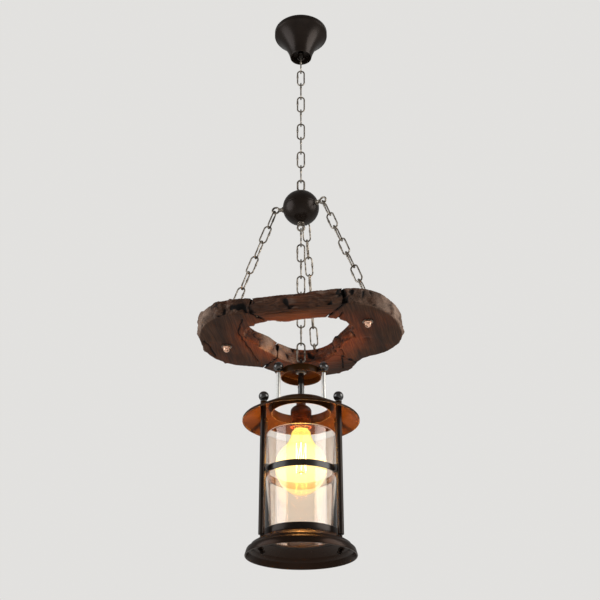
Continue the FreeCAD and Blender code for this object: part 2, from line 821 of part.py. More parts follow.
# Eye bolts through the timber, with washers above and below and a dome nut under each
nut_grip = S.dome_nut_base + S.dome_nut_radius / 2
bolt_tail = solid_tail(S.bolt_shank, S.washer_height * 2 + S.ring_thickness + nut_grip)
bolt_pattern = eye("ring_eye_bolt_pattern", as_size(0), S.bolt_rise - S.eye_radius, S.bolt_stem_diameter,
                   S.bolt_flange, S.bolt_flange_height, bolt_tail)
node(copies("ring_eye_bolts", bolt_pattern,
            [at(x.value, y.value, bolt_ring.value, azimuth.value - 90)
             for (x, y), azimuth in zip(bolt_spots, bolt_azimuths)]))
bolt_bore = S.bolt_shank / 2 + S.thread_fit
washer_pattern = turned("washer_pattern", [
    (S.bolt_shank / 2 + S.bolt_play, 0),
    (S.washer_diameter / 2, 0),
    (S.washer_diameter / 2, S.washer_height),
    (S.bolt_shank / 2 + S.bolt_play, S.washer_height),
])
node(copies("ring_washers", washer_pattern,
            at_spots(bolt_spots, timber_top) + at_spots(bolt_spots, timber_bottom - S.washer_height)))
dome_nut_pattern = turned("dome_nut_pattern", [
    (bolt_bore, 0),
    (S.dome_nut_diameter / 2, 0),
    (S.dome_nut_diameter / 2, -(S.dome_nut_base / 2)),
    (S.dome_nut_radius, -S.dome_nut_base),
    (0, -(S.dome_nut_base + S.dome_nut_radius), (S.dome_nut_radius, -1)),
    (0, -nut_grip),
    (bolt_bore, -nut_grip),
])
node(copies("ring_dome_nuts", dome_nut_pattern, at_spots(bolt_spots, timber_bottom - S.washer_height)))

# Drop chain through the timber ring
drop_ring_centre = Vector(0, 0, hub_bottom_ring.value)
node(chain("drop_chain_link", drop_ring_centre, down, sideways, 0, 1))
node(chain("drop_chain", drop_ring_centre, down, sideways, 1, SIZES["drop_links"] - 1))

# Lantern loop: ring with a socket for the centre tube
tube_socket = S.tube_diameter / 2 + S.thread_fit
lantern_loop_pattern = eye("lantern_loop_pattern", as_size(0), S.lantern_stem, S.lantern_stem_diameter,
                           S.lantern_flange, S.lantern_flange_height, [
                               (tube_socket, as_size(0)),
                               (tube_socket, -S.tube_engagement),
                               (0, -S.tube_engagement),
                           ])
node(copies("lantern_loop", lantern_loop_pattern, [at(0, 0, lantern_ring.value, 90)]))

# Centre tube from the loop to the lampholder
node(turned("centre_tube", [
    (S.tube_bore / 2, tube_top),
    (S.tube_diameter / 2, tube_top),
    (S.tube_diameter / 2, tube_bottom),
    (S.tube_bore / 2, tube_bottom),
]))

# Cap: small spun cup with a low crown, a deep skirt and three ears that the upper posts hang from
upper_spots = [polar(S.upper_post_circle, azimuth) for azimuth in upper_azimuths]
lower_spots = [polar(S.lower_post_circle, azimuth) for azimuth in lower_azimuths]
stud_hole = S.post_stud + S.bolt_play * 2
tube_hole = S.tube_diameter / 2 + S.bolt_play
cap_radius = S.cap_diameter / 2
cap_cup = turned("cap_cup", [
    (tube_hole, crown_level),
    (S.cap_crown / 2, crown_level),
    (cap_radius, cap_level),
    (cap_radius, ear_level),
    (cap_radius - S.cap_sheet, ear_level),
    (cap_radius - S.cap_sheet, cap_level - S.cap_sheet),
    (S.cap_crown / 2, crown_level - S.cap_sheet),
    (tube_hole, crown_level - S.cap_sheet),
])
ear_reach = S.upper_post_circle - cap_radius + S.cap_sheet / 2
ear_strap = block("cap_ear_strap", S.cap_ear_width, ear_reach, S.cap_ear, 0,
                  -(S.upper_post_circle - ear_reach / 2), ear_level)
ear_straps = copies("cap_ear_straps", ear_strap, [at(0, 0, 0, azimuth.value) for azimuth in upper_azimuths])
ear_end = turned("cap_ear_end", [
    (0, S.cap_ear),
    (S.cap_ear_width / 2, S.cap_ear),
    (S.cap_ear_width / 2, 0),
    (0, 0),
])
ear_ends = copies("cap_ear_ends", ear_end, at_spots(upper_spots, ear_level))
cap_blank = fused("cap_blank", [cap_cup, ear_straps, ear_ends])
node(drilled("cap_disc", cap_blank, stud_hole, upper_spots, ear_level + S.cap_ear, ear_level))
tube_nut_pattern = hex_nut("tube_nut_pattern", S.tube_nut_flats, S.tube_nut_height,
                           S.tube_diameter + S.thread_fit * 2)
tube_nut_level = crown_level - S.cap_sheet - S.tube_nut_height
node(copies("cap_lock_nut", tube_nut_pattern, [at(0, 0, tube_nut_level.value)]))

# Ball nuts on the cap and on the brim
brim_radius = S.brim_diameter / 2
brim_hole = S.brim_hole / 2
collar_outer = brim_hole + S.brim_sheet
nut_neck = S.ball_nut_neck / 2
ball_rise = root(S.ball_nut_radius * S.ball_nut_radius - nut_neck * nut_neck)
ball_top = S.ball_nut_neck_height + ball_rise + S.ball_nut_radius
stud_bore = S.post_stud / 2 + S.thread_fit
ball_nut_pattern = turned("ball_nut_pattern", [
    (stud_bore, 0),
    (S.ball_nut_base / 2, 0),
    (S.ball_nut_base / 2, S.ball_nut_base_height),
    (nut_neck, S.ball_nut_base_height),
    (nut_neck, S.ball_nut_neck_height),
    (0, ball_top, (S.ball_nut_radius, 1)),
    (0, S.stud_in_nut),
    (stud_bore, S.stud_in_nut),
])


def brim_top_at(radius):
    """Level of the brim's upper face on its cone."""
    share = (radius - collar_outer) / (brim_radius - collar_outer)
    return brim_level - S.brim_drop * share


def brim_under_at(radius):
    """Level of the brim's lower face below the same cone."""
    share = (radius - collar_outer) / (brim_radius - S.brim_sheet - collar_outer)
    return brim_level - S.brim_sheet - S.brim_drop * share


def base_top_at(radius):
    """Level of the base's upper face between its seat and its ridge."""
    share = (radius - S.base_seat / 2) / ((S.base_ridge - S.base_seat) / 2)
    return seat_level - S.base_ridge_drop * share


def base_under_at(radius):
    """Level of the base's lower face below the same slope."""
    start = S.base_seat / 2 - S.base_sheet / 4
    share = (radius - start) / (S.base_ridge / 2 - S.base_sheet / 2 - start)
    return seat_level - S.base_sheet - S.base_ridge_drop * share


post_boss = S.ball_nut_base / 2
brim_nut_level = brim_top_at(S.lower_post_circle - post_boss) + S.brim_boss_stand
node(copies("cap_nuts", ball_nut_pattern, at_spots(upper_spots, ear_level + S.cap_ear)))
node(copies("brim_nuts", ball_nut_pattern, at_spots(lower_spots, brim_nut_level)))

# Upper posts between cap and brim, held by lock nuts under the brim's tabs
upper_stud_end = S.upper_post_length + S.brim_sheet + S.lock_nut_height + S.stud_beyond_nut
upper_post_pattern = turned("upper_post_pattern", [
    (0, S.cap_ear + S.stud_in_nut),
    (S.post_stud / 2, S.cap_ear + S.stud_in_nut),
    (S.post_stud / 2, 0),
    (S.upper_post_diameter / 2, 0),
    (S.upper_post_diameter / 2, -S.upper_post_length),
    (S.post_stud / 2, -S.upper_post_length),
    (S.post_stud / 2, -upper_stud_end),
    (0, -upper_stud_end),
])
node(copies("upper_posts", upper_post_pattern, at_spots(upper_spots, ear_level)))
lock_nut_pattern = hex_nut("lock_nut_pattern", S.lock_nut_flats, S.lock_nut_height, stud_bore * 2)
node(copies("brim_lock_nuts", lock_nut_pattern,
            at_spots(upper_spots, brim_level - S.brim_sheet - S.lock_nut_height)))

# Brim: wide cone with a rolled lip and a collar that hangs from its hole. Three tabs in the collar carry the
# upper posts, and four bosses through the cone give the lower posts and their ball nuts a level seat.
rim_level = brim_level - S.brim_drop
collar_foot = brim_level - S.brim_collar
brim_cone = turned("brim_cone", [
    (brim_hole, brim_level),
    (collar_outer, brim_level),
    (brim_radius, rim_level),
    (brim_radius, rim_level - S.brim_lip),
    (brim_radius - S.brim_sheet, rim_level - S.brim_lip),
    (brim_radius - S.brim_sheet, rim_level - S.brim_sheet),
    (collar_outer, brim_level - S.brim_sheet),
    (collar_outer, collar_foot),
    (brim_hole, collar_foot),
])
tab_length = S.brim_tab_reach + S.brim_sheet / 2
tab_pattern = block("brim_tab_pattern", S.brim_tab_width, tab_length, S.brim_sheet, 0,
                    -(brim_hole + S.brim_sheet / 2 - tab_length / 2), brim_level - S.brim_sheet)
brim_tabs = copies("brim_tabs", tab_pattern, [at(0, 0, 0, azimuth.value) for azimuth in upper_azimuths])
post_top = brim_under_at(S.lower_post_circle + post_boss) - S.brim_boss_stand
boss_pattern = turned("brim_boss_pattern", [
    (0, 0),
    (post_boss, 0),
    (post_boss, post_top - brim_nut_level),
    (0, post_top - brim_nut_level),
])
brim_bosses = copies("brim_bosses", boss_pattern, at_spots(lower_spots, brim_nut_level))
brim_blank = fused("brim_blank", [brim_cone, brim_tabs, brim_bosses])
node(drilled("brim", brim_blank, stud_hole, upper_spots + lower_spots, brim_level, rim_level - S.brim_lip))

# Lower posts between brim and base
post_half = S.lower_post_diameter / 2
post_bottom = base_top_at(S.lower_post_circle - post_half)
lock_nut_corner = S.lock_nut_flats / root(as_size(3))
base_nut_level = base_under_at(S.lower_post_circle + lock_nut_corner) - S.lock_nut_height
for name, (x, y) in zip(("left", "right", "far_left", "far_right"), lower_spots):
    post = turned(f"lower_post_{name}", [
        (0, brim_nut_level + S.stud_in_nut),
        (S.post_stud / 2, brim_nut_level + S.stud_in_nut),
        (S.post_stud / 2, post_top),
        (post_half, post_top),
        (post_half, post_bottom),
        (S.post_stud / 2, post_bottom),
        (S.post_stud / 2, base_nut_level - S.stud_beyond_nut),
        (0, base_nut_level - S.stud_beyond_nut),
    ])
    place(post, x, y, 0)
    node(post)
node(copies("base_nuts", lock_nut_pattern, at_spots(lower_spots, base_nut_level)))

# Glass chimney standing on the base's seat
glass_radius = S.glass_diameter / 2
glass_top = seat_level + S.glass_height
node(turned("glass_cylinder", [
    (glass_radius - S.glass_wall, glass_top),
    (glass_radius, glass_top),
    (glass_radius, seat_level),
    (glass_radius - S.glass_wall, seat_level),
]))

# Collar ring round the foot of the glass
collar_bore = glass_radius + S.collar_play
node(turned("collar_ring", [
    (collar_bore, seat_level + S.collar_height),
    (collar_bore + S.collar_wall, seat_level + S.collar_height),
    (collar_bore + S.collar_wall, seat_level),
    (collar_bore, seat_level),
]))

# Mid ring: band round the glass with a lug against each lower post
band_bore = glass_radius + S.mid_ring_play
band_outer = band_bore + S.mid_ring_wall
band_bottom = seat_level + S.mid_ring_level - S.mid_ring_height / 2
band = turned("mid_ring_band", [
    (band_bore, band_bottom + S.mid_ring_height),
    (band_outer, band_bottom + S.mid_ring_height),
    (band_outer, band_bottom),
    (band_bore, band_bottom),
])
lug_start = band_bore + S.mid_ring_wall / 2
lug_length = S.lower_post_circle - lug_start
lug_pattern = block("mid_ring_lug_pattern", S.mid_ring_lug, lug_length, S.mid_ring_height, 0,
                    -(lug_start + lug_length / 2), band_bottom)
lugs = copies("mid_ring_lugs", lug_pattern, [at(0, 0, 0, azimuth.value) for azimuth in lower_azimuths])
node(drilled("mid_ring", fused("mid_ring_blank", [band, lugs]), S.lower_post_diameter + S.thread_fit * 2,
             lower_spots, band_bottom + S.mid_ring_height, band_bottom))

# Base: flared spun foot, open below, with a flat seat for the glass
base_radius = S.base_diameter / 2
base_bottom = seat_level - S.base_height
base_blank = turned("base_blank", [
    (S.base_bore / 2, seat_level),
    (S.base_seat / 2, seat_level),
    (S.base_ridge / 2, seat_level - S.base_ridge_drop),
    (S.base_shoulder / 2, seat_level - S.base_shoulder_drop),
    (base_radius, base_bottom),
    (base_radius - S.base_sheet, base_bottom),
    (S.base_shoulder / 2 - S.base_sheet, seat_level - S.base_shoulder_drop - S.base_sheet / 2),
    (S.base_ridge / 2 - S.base_sheet / 2, seat_level - S.base_ridge_drop - S.base_sheet),
    (S.base_seat / 2 - S.base_sheet / 4, seat_level - S.base_sheet),
    (S.base_bore / 2, seat_level - S.base_sheet),
])
node(drilled("base_flare", base_blank, stud_hole, lower_spots, seat_level, base_bottom))

# Lampholder: dome on the tube, sleeve below it, insert, threaded shell and centre contact inside
holder_radius = S.holder_diameter / 2
holder_bore = holder_radius - S.holder_wall
boss_radius = S.holder_boss / 2
node(turned("lampholder_dome", [
    (tube_socket, holder_top),
    (boss_radius, holder_top),
    (boss_radius, holder_top - S.holder_boss_height + S.holder_wall),
    (holder_radius, holder_top - S.dome_shoulder, (S.dome_sweep, -1)),
    (holder_radius, sleeve_top),
    (holder_bore, sleeve_top),
    (holder_bore, holder_top - S.dome_shoulder),
    (boss_radius, holder_top - S.holder_boss_height),
    (tube_socket, holder_top - S.holder_boss_height),
]))
node(turned("lampholder_sleeve", [
    (holder_bore, sleeve_top),
    (holder_radius, sleeve_top),
    (holder_radius, sleeve_bottom + S.sleeve_taper),
    (holder_radius - S.sleeve_taper, sleeve_bottom),
    (holder_bore, sleeve_bottom),
]))
insert_radius = holder_bore - S.thread_fit * 2
node(turned("socket_insert", [
    (0, sleeve_top),
    (insert_radius, sleeve_top),
    (insert_radius, insert_bottom),
    (0, insert_bottom),
]))
node(turned("socket_shell", [
    (S.shell_bore / 2, insert_bottom),
    (S.shell_bore / 2 + S.shell_wall, insert_bottom),
    (S.shell_bore / 2 + S.shell_wall, insert_bottom - S.shell_height),
    (S.shell_bore / 2, insert_bottom - S.shell_height),
]))
node(block("centre_contact", S.contact_width, S.contact_width, S.contact_sheet, 0, 0,
           insert_bottom - S.contact_sheet))

# Lamp: contact, insulator and screw cap
cap_half = S.lamp_cap_diameter / 2
contact_half = S.lamp_contact_diameter / 2
contact_foot = -S.lamp_contact_height
cap_top = contact_foot - S.lamp_insulator_height
cap_foot = cap_top - S.lamp_cap_height
node(turned("bulb_contact", [
    (0, 0),
    (contact_half, 0),
    (contact_half, contact_foot),
    (0, contact_foot),
], lamp_tip))
node(turned("bulb_insulator", [
    (0, contact_foot),
    (contact_half, contact_foot),
    (cap_half - S.lamp_insulator_height, cap_top),
    (0, cap_top),
], lamp_tip))
node(turned("bulb_cap", [
    (0, cap_top),
    (cap_half, cap_top),
    (cap_half, cap_foot),
    (cap_half - S.lamp_cap_wall, cap_foot),
    (cap_half - S.lamp_cap_wall, cap_top - S.lamp_cap_wall),
    (0, cap_top - S.lamp_cap_wall),
], lamp_tip))

# Lamp glass: straight neck held in the cap, a wider throat, a flare and a round belly
neck_half = S.lamp_neck / 2
belly_half = S.lamp_belly / 2
glass_mouth = cap_foot + S.lamp_neck_overlap
glass_foot = glass_mouth - S.lamp_glass_height
belly_level = glass_foot + belly_half
neck_level = cap_foot - S.lamp_neck_below_cap
throat_half = S.lamp_throat / 2
throat_level = cap_foot - S.lamp_throat_start
shoulder_level = cap_foot - S.lamp_throat_end
inside_throat = throat_half - S.lamp_glass_wall
inside_belly = belly_half - S.lamp_glass_wall
shoulder_x = cosine(S.lamp_belly_angle)
shoulder_y = sine(S.lamp_belly_angle)
node(turned("bulb_glass", [
    (neck_half, glass_mouth),
    (neck_half, neck_level),
    (throat_half, throat_level),
    (throat_half, shoulder_level),
    (belly_half * shoulder_x, belly_level + belly_half * shoulder_y, (S.lamp_flare_radius, 1)),
    (0, glass_foot, (belly_half, -1)),
    (0, glass_foot + S.lamp_glass_wall),
    (inside_belly * shoulder_x, belly_level + inside_belly * shoulder_y, (inside_belly, 1)),
    (inside_throat, shoulder_level, (S.lamp_flare_radius, -1)),
    (inside_throat, throat_level),
    (neck_half - S.lamp_glass_wall, neck_level),
    (neck_half - S.lamp_glass_wall, glass_mouth),
], lamp_tip))

# Glass stem inside the lamp
stem_half = S.lamp_stem_diameter / 2
stem_top = glass_mouth - S.lamp_stem_flange_height
stem_flange = neck_half - S.lamp_glass_wall - S.thread_fit * 2
stem_foot = stem_top - S.lamp_stem_height
node(turned("bulb_stem", [
    (0, stem_top),
    (stem_flange, stem_top),
    (stem_flange, stem_top - S.lamp_stem_flange_height),
    (stem_half, stem_top - S.lamp_stem_flange_height * 3),
    (stem_half, stem_foot),
    (0, stem_foot),
], lamp_tip))

# Filament cage: two wire spiders on the stem and upright wires between them
lower_spider = stem_foot + S.cage_hub_height
upper_spider = lower_spider + S.cage_span
hub_bore = stem_half + S.thread_fit
spider_hub = turned("spider_hub", [
    (hub_bore, S.cage_hub_height / 2),
    (hub_bore + S.cage_arm, S.cage_hub_height / 2),
    (hub_bore + S.cage_arm, -(S.cage_hub_height / 2)),
    (hub_bore, -(S.cage_hub_height / 2)),
])
wire_angles = [360 / SIZES["cage_wires"] * index for index in range(SIZES["cage_wires"])]
spider_arm = rod("spider_arm", S.cage_arm, S.cage_radius - hub_bore - S.cage_arm / 2 + S.cage_wire, 0,
                 -(hub_bore + S.cage_arm / 2), 0)
spider_arm.Placement.Rotation = forward
spider_arms = copies("spider_arms", spider_arm, [at(0, 0, 0, angle) for angle in wire_angles])
spider_pattern = fused("spider_pattern", [spider_hub, spider_arms])
node(copies("filament_support", spider_pattern,
            [at(0, 0, (lamp_tip + level).value) for level in (lower_spider, upper_spider)]))
wire_length = S.cage_span - S.cage_arm - S.thread_fit * 2
filament_wire = rod("filament_wire", S.cage_wire, wire_length, 0, -S.cage_radius,
                    lamp_tip + lower_spider + S.cage_arm / 2 + S.thread_fit)
node(copies("filament", filament_wire, [at(0, 0, 0, angle) for angle in wire_angles]))

# Every object must have built, and every sub-part must be a valid solid or group of solids
doc.recompute()
failed = [item.Label for item in doc.Objects if {"Invalid", "Error"} & set(item.State)]
for item in nodes:
    shape = item.Shape
    if shape.isNull() or not shape.isValid() or not shape.Solids or shape.Volume <= 0:
        failed.append(item.Label)
if failed:
    raise RuntimeError("failed objects: " + ", ".join(failed))

os.makedirs("parts", exist_ok=True)
for item in nodes:
    item.Shape.exportStep(os.path.join("parts", item.Label + ".step"))

# Places of the joints and levels that the record quotes
print("sub-parts", len(nodes))
first_axis = fixture_ring - S.eye_radius
crossing = S.eye_wire / 2 + S.link_wire / 2 + S.link_gap
link_bar = S.link_length - S.link_wire
print("top link axis level", round(first_axis.value, 3))
print("crown axis level", round((first_axis + crossing - link_bar).value, 3))
drop_axis = hub_bottom_ring - S.eye_radius
print("drop link axis level", round(drop_axis.value, 3))
print("lantern axis level", round((drop_axis + crossing - link_bar).value, 3))
print("hub", round(hub_level.value, 2))
print("timber", round(timber_top.value, 2), round(timber_bottom.value, 2))
print("cap", round(cap_level.value, 2), "brim", round(brim_level.value, 2))
print("seat", round(seat_level.value, 2))
print("lamp tip", round(lamp_tip.value, 2), "lamp foot", round((lamp_tip + glass_foot).value, 2))
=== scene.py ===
# Lantern pendant light: the looks of the lamp, from the ceiling strap down to the lit lamp in its glass.
import bpy
import math
from mathutils import Matrix, Vector, noise


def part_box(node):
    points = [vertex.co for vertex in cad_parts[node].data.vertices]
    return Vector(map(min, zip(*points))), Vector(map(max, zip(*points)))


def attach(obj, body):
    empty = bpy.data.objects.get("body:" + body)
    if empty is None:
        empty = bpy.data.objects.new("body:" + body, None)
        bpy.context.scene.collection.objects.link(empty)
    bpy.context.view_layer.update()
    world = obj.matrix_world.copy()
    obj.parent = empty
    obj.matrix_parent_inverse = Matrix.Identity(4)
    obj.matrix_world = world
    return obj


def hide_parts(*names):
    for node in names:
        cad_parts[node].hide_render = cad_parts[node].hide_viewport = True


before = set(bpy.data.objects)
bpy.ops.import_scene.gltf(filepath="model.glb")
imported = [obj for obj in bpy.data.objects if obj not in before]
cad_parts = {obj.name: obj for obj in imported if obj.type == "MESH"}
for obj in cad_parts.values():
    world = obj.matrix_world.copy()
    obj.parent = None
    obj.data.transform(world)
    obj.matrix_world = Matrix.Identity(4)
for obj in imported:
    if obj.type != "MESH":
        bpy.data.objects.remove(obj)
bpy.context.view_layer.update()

# Ceiling strap, nipple, nuts and earth screw. The strap is bent steel sheet screwed to the ceiling, and the
# nipple is a threaded tube clamped in its middle by two nuts. All of them are zinc plated.
mm = 0.001


class Paint:
    """A value on its way through a finish. Arithmetic on it adds Math nodes."""

    def __init__(self, tree, socket=None):
        self.tree = tree
        self.socket = socket

    def node(self, kind, settings=None, sockets=None, output=0):
        """Adds any node: its settings first, then the values or links of its sockets."""
        made = self.tree.nodes.new("ShaderNode" + kind)
        for name, value in (settings or {}).items():
            setattr(made, name, value)
        for name, value in (sockets or {}).items():
            if isinstance(value, Paint):
                self.tree.links.new(value.socket, made.inputs[name])
            else:
                made.inputs[name].default_value = value
        return Paint(self.tree, made.outputs[output])

    def maths(self, operation, first, second=0.0):
        return self.node("Math", {"operation": operation}, {0: first, 1: second})

    def __add__(self, other):
        return self.maths("ADD", self, other)

    def __sub__(self, other):
        return self.maths("SUBTRACT", self, other)

    def __mul__(self, other):
        return self.maths("MULTIPLY", self, other)

    def __rsub__(self, other):
        return self.maths("SUBTRACT", other, self)

    __radd__ = __add__
    __rmul__ = __mul__

    def rise(self, low, high):
        """0 below low, 1 above high, smooth between them."""
        return self.node("MapRange", {"interpolation_type": "SMOOTHSTEP"},
                         {"Value": self, "From Min": low, "From Max": high})

    def tint(self, low, high):
        """A colour between two, by this value."""
        return self.node("Mix", {"data_type": "RGBA"}, {0: self, 6: low, 7: high}, 2)

    def grain(self, scale, detail=3.0, stretch=(1, 1, 1), turn=(0, 0, 0)):
        """Cloudy noise over these coordinates, so many times a metre."""
        mapped = self.node("Mapping", {}, {"Vector": self, "Scale": stretch, "Rotation": turn})
        return self.node("TexNoise", {}, {"Vector": mapped, "Scale": scale, "Detail": detail})

    def eased(self, radius):
        """The surface's normal with its sharp edges rounded over, and how far each place is on an edge."""
        rounded = self.node("Bevel", {"samples": 4}, {"Radius": radius})
        plain = self.node("NewGeometry", {}, {}, "Normal")
        alike = self.node("VectorMath", {"operation": "DOT_PRODUCT"}, {0: rounded, 1: plain}, "Value")
        return rounded, (1 - alike).rise(0.01, 0.2)

    def bump(self, height, strength, depth, normal=None):
        """The normal of a surface with this height, on top of another normal if there is one."""
        sockets = {"Height": height, "Strength": strength, "Distance": depth}
        if normal:
            sockets["Normal"] = normal
        return self.node("Bump", {}, sockets)


def finish(name, varying, steady):
    """A finish from what varies over the piece's own coordinates and what is the same all over."""
    material = bpy.data.materials.new(name)
    material.use_nodes = True
    tree = material.node_tree
    shader = tree.nodes["Principled BSDF"]
    for socket, value in steady.items():
        shader.inputs[socket].default_value = value
    place = Paint(tree).node("TexCoord", {}, {}, "Object")
    for socket, value in varying(place).items():
        tree.links.new(value.socket, shader.inputs[socket])
    return material


def dress(material, *names):
    """Gives carried-over solids their finish."""
    for name in names:
        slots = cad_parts[name].data.materials
        slots.clear()
        slots.append(material)


def zinc_look(place):
    rounded, edge = place.eased(0.4 * mm)
    spangle = place.node("TexVoronoi", {}, {"Vector": place, "Scale": 420.0}, "Color")
    flake = spangle.node("SeparateColor", {}, {"Color": spangle})
    haze = place.grain(90)
    colour = (flake * 0.5 + haze * 0.5).tint((0.42, 0.42, 0.40, 1), (0.66, 0.66, 0.63, 1))
    return {
        "Base Color": edge.tint(colour, (0.74, 0.73, 0.70, 1)),
        "Roughness": 0.30 + haze * 0.25,
        "Normal": place.bump(haze, 0.1, 0.2 * mm, rounded),
    }


def thread_look(place):
    """Zinc with the ridges of a fine thread up the piece."""
    pitch = 1.0 * mm
    varying = zinc_look(place)
    height = place.node("SeparateXYZ", {}, {"Vector": place}, "Z")
    angle = height * (math.tau / pitch)
    return {**varying, "Normal": place.bump(angle.maths("SINE", angle), 0.6, 0.35 * mm)}


zinc_plate = finish("zinc_plate", zinc_look, {"Metallic": 1.0})
zinc_thread = finish("zinc_thread", thread_look, {"Metallic": 1.0})
dress(zinc_plate, "ceiling_bracket", "nipple_nuts", "earth_screw")
dress(zinc_thread, "nipple")

# Terminal block: a moulded block of heat-proof plastic under the strap, with three wire ways and brass clamp
# screws. The gland is a bush of the same plastic in the canopy's floor.


def moulded_look(place):
    rounded, edge = place.eased(0.5 * mm)
    speck = place.grain(1600, 2.0)
    cloud = place.grain(60)
    colour = cloud.tint((0.028, 0.027, 0.026, 1), (0.050, 0.048, 0.046, 1))
    return {
        "Base Color": edge.tint(colour, (0.075, 0.072, 0.068, 1)),
        "Roughness": 0.42 + speck * 0.2,
        "Normal": place.bump(speck, 0.15, 0.15 * mm, rounded),
    }


def brass_look(place):
    rounded, edge = place.eased(0.25 * mm)
    tarnish = place.grain(220, 4.0).rise(0.42, 0.68)
    colour = tarnish.tint((0.74, 0.54, 0.25, 1), (0.42, 0.27, 0.12, 1))
    return {
        "Base Color": edge.tint(colour, (0.86, 0.68, 0.38, 1)),
        "Roughness": 0.22 + tarnish * 0.25,
        "Normal": place.bump(tarnish, 0.08, 0.1 * mm, rounded),
    }


moulded_black = finish("moulded_black", moulded_look, {"Specular IOR Level": 0.5})
plain_brass = finish("plain_brass", brass_look, {"Metallic": 1.0})
dress(moulded_black, "terminal_block", "cord_gland")
dress(plain_brass, "terminal_screws")

# Canopy: a bell spun from steel sheet, with a straight skirt against the ceiling, a trumpet sweep down to a
# narrow neck and a floor set back into it. Satin black powder coat, a little rubbed on its edges.


def bow(start, end, radius, side, steps):
    """Points along an arc after start. Its centre lies left (1) or right (-1) of the way to end."""
    (x0, y0), (x1, y1) = start, end
    chord = math.hypot(x1 - x0, y1 - y0)
    lift = math.sqrt(max(radius ** 2 - chord ** 2 / 4, 0)) * side / chord
    cx = (x0 + x1) / 2 - (y1 - y0) * lift
    cy = (y0 + y1) / 2 + (x1 - x0) * lift
    first = math.atan2(y0 - cy, x0 - cx)
    swing = math.remainder(math.atan2(y1 - cy, x1 - cx) - first, math.tau)
    angles = [first + swing * step / steps for step in range(1, steps + 1)]
    return [(cx + radius * math.cos(angle), cy + radius * math.sin(angle)) for angle in angles]


def spun(name, outline, steps=96):
    """A spun or turned piece: a closed outline of (radius, height) in millimetres, drawn and spun."""
    bpy.ops.object.select_all(action="DESELECT")
    bpy.ops.mesh.primitive_plane_add(size=mm)
    piece = bpy.context.object
    piece.name = name
    bpy.ops.object.mode_set(mode="EDIT")
    bpy.ops.mesh.select_mode(type="VERT")
    bpy.ops.mesh.select_all(action="SELECT")
    bpy.ops.mesh.merge(type="CENTER")
    bpy.ops.transform.translate(value=(outline[0][0] * mm, 0, outline[0][1] * mm))
    for here, there in zip(outline, outline[1:] + outline[:1]):
        step = ((there[0] - here[0]) * mm, 0, (there[1] - here[1]) * mm)
        bpy.ops.mesh.extrude_vertices_move(TRANSFORM_OT_translate={"value": step})
    bpy.ops.mesh.select_all(action="SELECT")
    bpy.ops.mesh.remove_doubles(threshold=0.002 * mm)
    bpy.ops.mesh.spin(steps=steps, angle=math.tau, center=(0, 0, 0), axis=(0, 0, 1))
    bpy.ops.mesh.select_all(action="SELECT")
    bpy.ops.mesh.remove_doubles(threshold=0.002 * mm)
    bpy.ops.mesh.delete_loose()
    bpy.ops.mesh.select_all(action="SELECT")
    bpy.ops.mesh.normals_make_consistent(inside=False)
    bpy.ops.object.mode_set(mode="OBJECT")
    return piece


def shaped(piece, *steps):
    """Adds modifiers by kind and settings and applies them in turn."""
    bpy.ops.object.select_all(action="DESELECT")
    piece.select_set(True)
    bpy.context.view_layer.objects.active = piece
    for kind, settings in steps:
        modifier = piece.modifiers.new(kind.lower(), kind)
        for setting, value in settings.items():
            setattr(modifier, setting, value)
        bpy.ops.object.modifier_apply(modifier=modifier.name)
    return piece


def rounded_edges(piece, width, segments=2, crease=25):
    """Rounds every edge sharper than the crease, welds what that collapses and shades the rest smooth."""
    shaped(piece, ("BEVEL", {"width": width * mm, "segments": segments, "limit_method": "ANGLE",
                             "angle_limit": math.radians(crease), "use_clamp_overlap": True}),
           ("WELD", {"merge_threshold": 0.002 * mm}))
    bpy.ops.object.shade_smooth_by_angle(angle=math.radians(crease))
    return piece


def fitted(piece, material, body, slot, *solids):
    """Finishes a piece: its material, the body it rides on and the solids it stands for. Its slot argument is
    not used.
    """
    piece.data.materials.clear()
    piece.data.materials.append(material)
    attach(piece, body)
    if solids:
        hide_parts(*solids)
    return piece


def coat_look(place):
    rounded, edge = place.eased(0.6 * mm)
    cloud = place.grain(30)
    peel = place.grain(900, 2.0)
    rub = edge * place.grain(240, 4.0).rise(0.42, 0.70)
    colour = cloud.rise(0.3, 0.7).tint((0.0062, 0.0041, 0.0029, 1), (0.0112, 0.0074, 0.0054, 1))
    return {
        "Base Color": rub.tint(colour, (0.085, 0.064, 0.049, 1)),
        "Roughness": 0.20 + cloud * 0.12 + peel * 0.05,
        "Normal": place.bump(peel, 0.16, 0.25 * mm, rounded),
    }


black_coat = finish("black_coat", coat_look, {
    "Specular IOR Level": 0.18, "Specular Tint": (1, 0.86, 0.80, 1)})
bell_radius, bell_sheet, bell_sweep, skirt_foot = 60, 1.5, 115, -10
neck_radius, neck_foot, floor_height = 24, -74, -57
nipple_hole, gland_hole, gland_back = 5.3, 3.65, 17
bell = [(bell_radius, 0), (bell_radius, skirt_foot)]
bell += bow(bell[-1], (neck_radius, neck_foot), bell_sweep, 1, 22)
bell += [(neck_radius - bell_sheet, neck_foot), (neck_radius - bell_sheet, floor_height),
         (nipple_hole, floor_height), (nipple_hole, floor_height + bell_sheet),
         (neck_radius, floor_height + bell_sheet)]
bell += bow(bell[-1], (bell_radius - bell_sheet, skirt_foot), bell_sweep, -1, 16)
canopy = spun("canopy_bell", bell + [(bell_radius - bell_sheet, 0)], 128)
bpy.ops.object.select_all(action="DESELECT")
bpy.ops.mesh.primitive_cylinder_add(vertices=32, radius=gland_hole * mm, depth=8 * mm,
                                    location=(0, gland_back * mm, (floor_height + bell_sheet / 2) * mm))
gland_drill = bpy.context.object
shaped(canopy, ("BOOLEAN", {"object": gland_drill, "operation": "DIFFERENCE", "solver": "EXACT"}))
bpy.data.objects.remove(gland_drill)
fitted(rounded_edges(canopy, 0.6), black_coat, "ceiling", "black_metal", "canopy")

